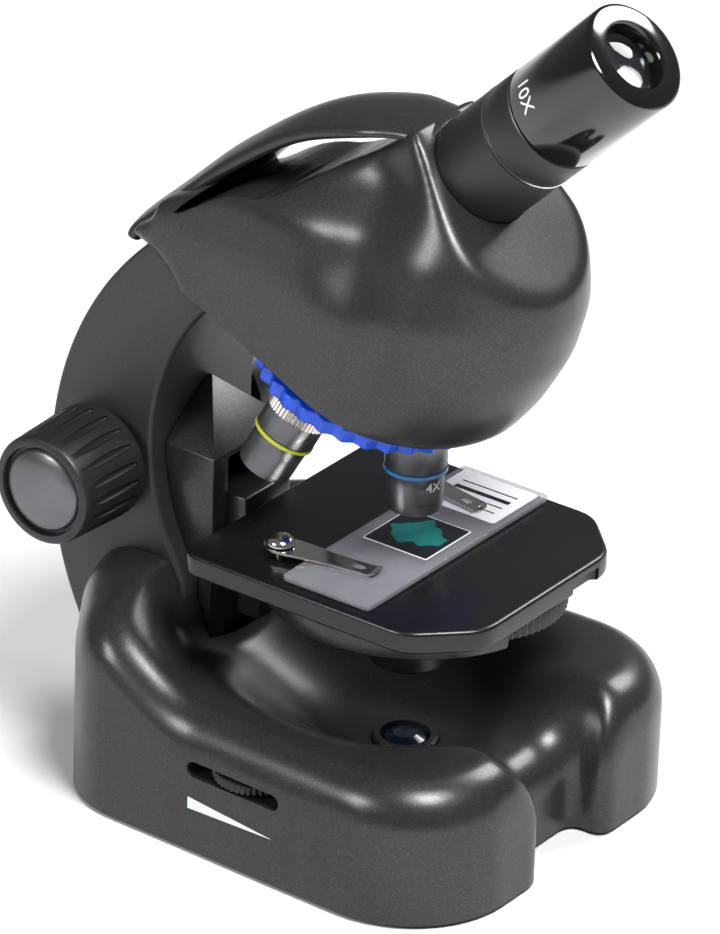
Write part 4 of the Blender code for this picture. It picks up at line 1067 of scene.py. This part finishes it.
# %% Nosepiece
def model_nosepiece():
    ring = slab("nosepiece", ribbed_outline(0.0295, 32, 0.0013), -0.0510, -0.0469)
    soften(ring, 0.0006, 3, 60)
    carry(ring, turned_about_x(TURRET_TILT))
    for k, swing in enumerate(swings):
        boss = lathe(f"boss_{k}", [(0, -0.0495), (0.0086, -0.0495), (0.0086, -0.0548), (0.0082, -0.0552),
                                   (0, -0.0552)], 72)
        carve(ring, carry(boss, swing), "UNION")
    return ring


dress(shade(model_nosepiece(), 35), blue, "blue_plastic", "turret", "turret_ring", where=hub)


def model_objective(label, line, tip, band, colour, ring_at, number, angle, milled_at):
    top = -0.0558
    profile = [(0, top), (0.0078, top), (0.0080, top - 0.0003), (0.0080, top - 0.0024),
               (0.0078, top - 0.0027), (0.0074, top - 0.0028), (0.0074, top - 0.0034),
               (0.0078, top - 0.0036), (0.0077, -tip + 0.0110), (0.0073, -tip + 0.0104),
               (0.0071, -tip + 0.0072), (0.0070, -tip + 0.0016), (0.0067, -tip + 0.0003), (0.0062, -tip),
               (0.0040, -tip), (0.0032, -tip + 0.0012), (0.0030, -tip + 0.0040), (0, -tip + 0.0040)]
    turned_on(line, f"objective_body_{label}", profile, gunmetal, "gunmetal", "turret",
              f"objective_{label}")
    milled = slab(f"objective_grip_{label}", ribbed_outline(0.0082, 44, 0.0005), milled_at - 0.0028,
                  milled_at)
    dress(shade(milled, 35), nickel if label == "high" else gunmetal, "nickel", "turret",
          f"objective_band_{label}", where=line)
    turned_on(line, f"objective_mark_{label}", [(0.0070, ring_at), (0.0079, ring_at),
                                                (0.0079, ring_at - 0.0009), (0.0070, ring_at - 0.0009)],
              band, f"{colour}_band", "turret", closed=True)
    turned_on(line, f"front_lens_{label}", [(0, -tip + 0.0008), (0.0016, -tip + 0.0010),
                                            (0.0030, -tip + 0.0016), (0.0030, -tip + 0.0030),
                                            (0, -tip + 0.0030)], lens_glass, "clear_glass", "turret",
              f"objective_lens_{label}", sides=48)
    wrapped_print(f"objective_number_{label}", number, 0.0034, 0.00745, -tip + 0.0080, angle, 0, line,
                  "turret")


model_objective("low", objective_lines[0], 0.0787, blue_band, "blue", -0.0672, "4X", 252, -0.0561)
model_objective("medium", objective_lines[1], 0.0760, red_band, "red", -0.0640, "10X", 90, -0.0561)
model_objective("high", objective_lines[2], 0.0800, yellow_band, "yellow", -0.0690, "40X", 200, -0.0600)

# %% The thumbwheel of the lamp
thumb = slab("thumbwheel", ribbed_outline(0.0113, 44, 0.0006), 0.0225, 0.0249)
soften(thumb, 0.0003, 2, 60)
dress(carry(shade(thumb, 35), Matrix.Translation((-0.0462, 0.0110, 0))), black, "black_plastic", "dimmer",
      "dimmer_wheel")

# %% [markdown]
# ## The nodes that stay
#
# The parts inside and underneath keep the solid model's shape. Each takes the finish of its
# slot in the record.

# %% Finishes of the remaining nodes
finishes = {"charcoal_shell": charcoal, "black_plastic": black, "gloss_black": gloss_black,
            "blue_plastic": blue, "gunmetal": gunmetal, "nickel": nickel, "steel": steel, "brass": brass,
            "clear_glass": lens_glass, "rubber": rubber, "circuit_board": board_green,
            "battery_jacket": jacket, "white_print": white_print, "blue_band": blue_band,
            "yellow_band": yellow_band, "red_band": red_band, "paper_label": white_print,
            "specimen": teal}
lamp_glass = moulded("lamp_window", (0.006, 0.010, 0.020), 0.16, 0.000005, 500, coat=0.3)
for part in frame["record"]["subparts"]:
    for entry in frame["nodes"][part["node"]].material_slots:
        entry.material = finishes[part["material_slot"]]
frame["nodes"]["lamp_window"].material_slots[0].material = lamp_glass
frame["nodes"]["lamp_holder"].material_slots[0].material = charcoal


# %% [markdown]
# ## Floor, light and camera
#
# A wide pale table top fills the view, because the camera looks down on it. Three large soft
# lights stand round it, and the camera is a long lens from the front left, above the stage.

# %% Floor
def model_floor():
    sheet = start("grid", "floor", x_subdivisions=4, y_subdivisions=4, size=8)
    bpy.ops.object.mode_set(mode="EDIT")
    bpy.ops.mesh.select_all(action="SELECT")
    bpy.ops.mesh.extrude_region_move(TRANSFORM_OT_translate={"value": (0, 0, -0.01)})
    bpy.ops.object.mode_set(mode="OBJECT")
    return tidy_mesh(sheet)


paper = moulded("paper_floor", (0.80, 0.80, 0.81), 0.85, 0.00002, 400, drift=0.02)
floor = model_floor()
floor.data.materials.append(paper)


# %% Lights
def area_light(name, at, size, power, aim=(0, 0, 0.10), tint=(1, 1, 1)):
    bpy.ops.object.light_add(type="AREA", location=at)
    light = bpy.context.object
    light.name = name
    light.data.shape, light.data.size, light.data.energy, light.data.color = "DISK", size, power, tint
    light.rotation_euler = (Vector(aim) - Vector(at)).to_track_quat("-Z", "Y").to_euler()
    return light


area_light("key", (-0.25, -0.55, 1.15), 0.45, 19)
area_light("fill", (-1.15, 0.45, 0.85), 0.5, 10)
area_light("rim", (0.95, -0.25, 0.95), 0.6, 12)
world = bpy.data.worlds.new("soft_room")
world.use_nodes = True
world.node_tree.nodes["Background"].inputs["Color"].default_value = (0.93, 0.95, 1.0, 1)
world.node_tree.nodes["Background"].inputs["Strength"].default_value = 0.16
bpy.context.scene.world = world
bpy.context.scene.view_settings.view_transform = "Standard"

# %% Camera
AZIMUTH, ELEVATION, ROLL = -54.79, 27.12, 2.03
bpy.ops.object.camera_add(location=(-1.266957, -0.877995 + hub_at.y, 0.878846))
camera = bpy.context.object
camera.rotation_euler = (Matrix.Rotation(math.radians(AZIMUTH), 3, "Z") @ Matrix.Rotation(
    math.radians(90 - ELEVATION), 3, "X") @ Matrix.Rotation(math.radians(ROLL), 3, "Z")).to_euler()
camera.data.lens, camera.data.sensor_width = 275.0, 36
camera.data.shift_x, camera.data.shift_y = -0.00145, 0.00726
bpy.context.scene.camera = camera
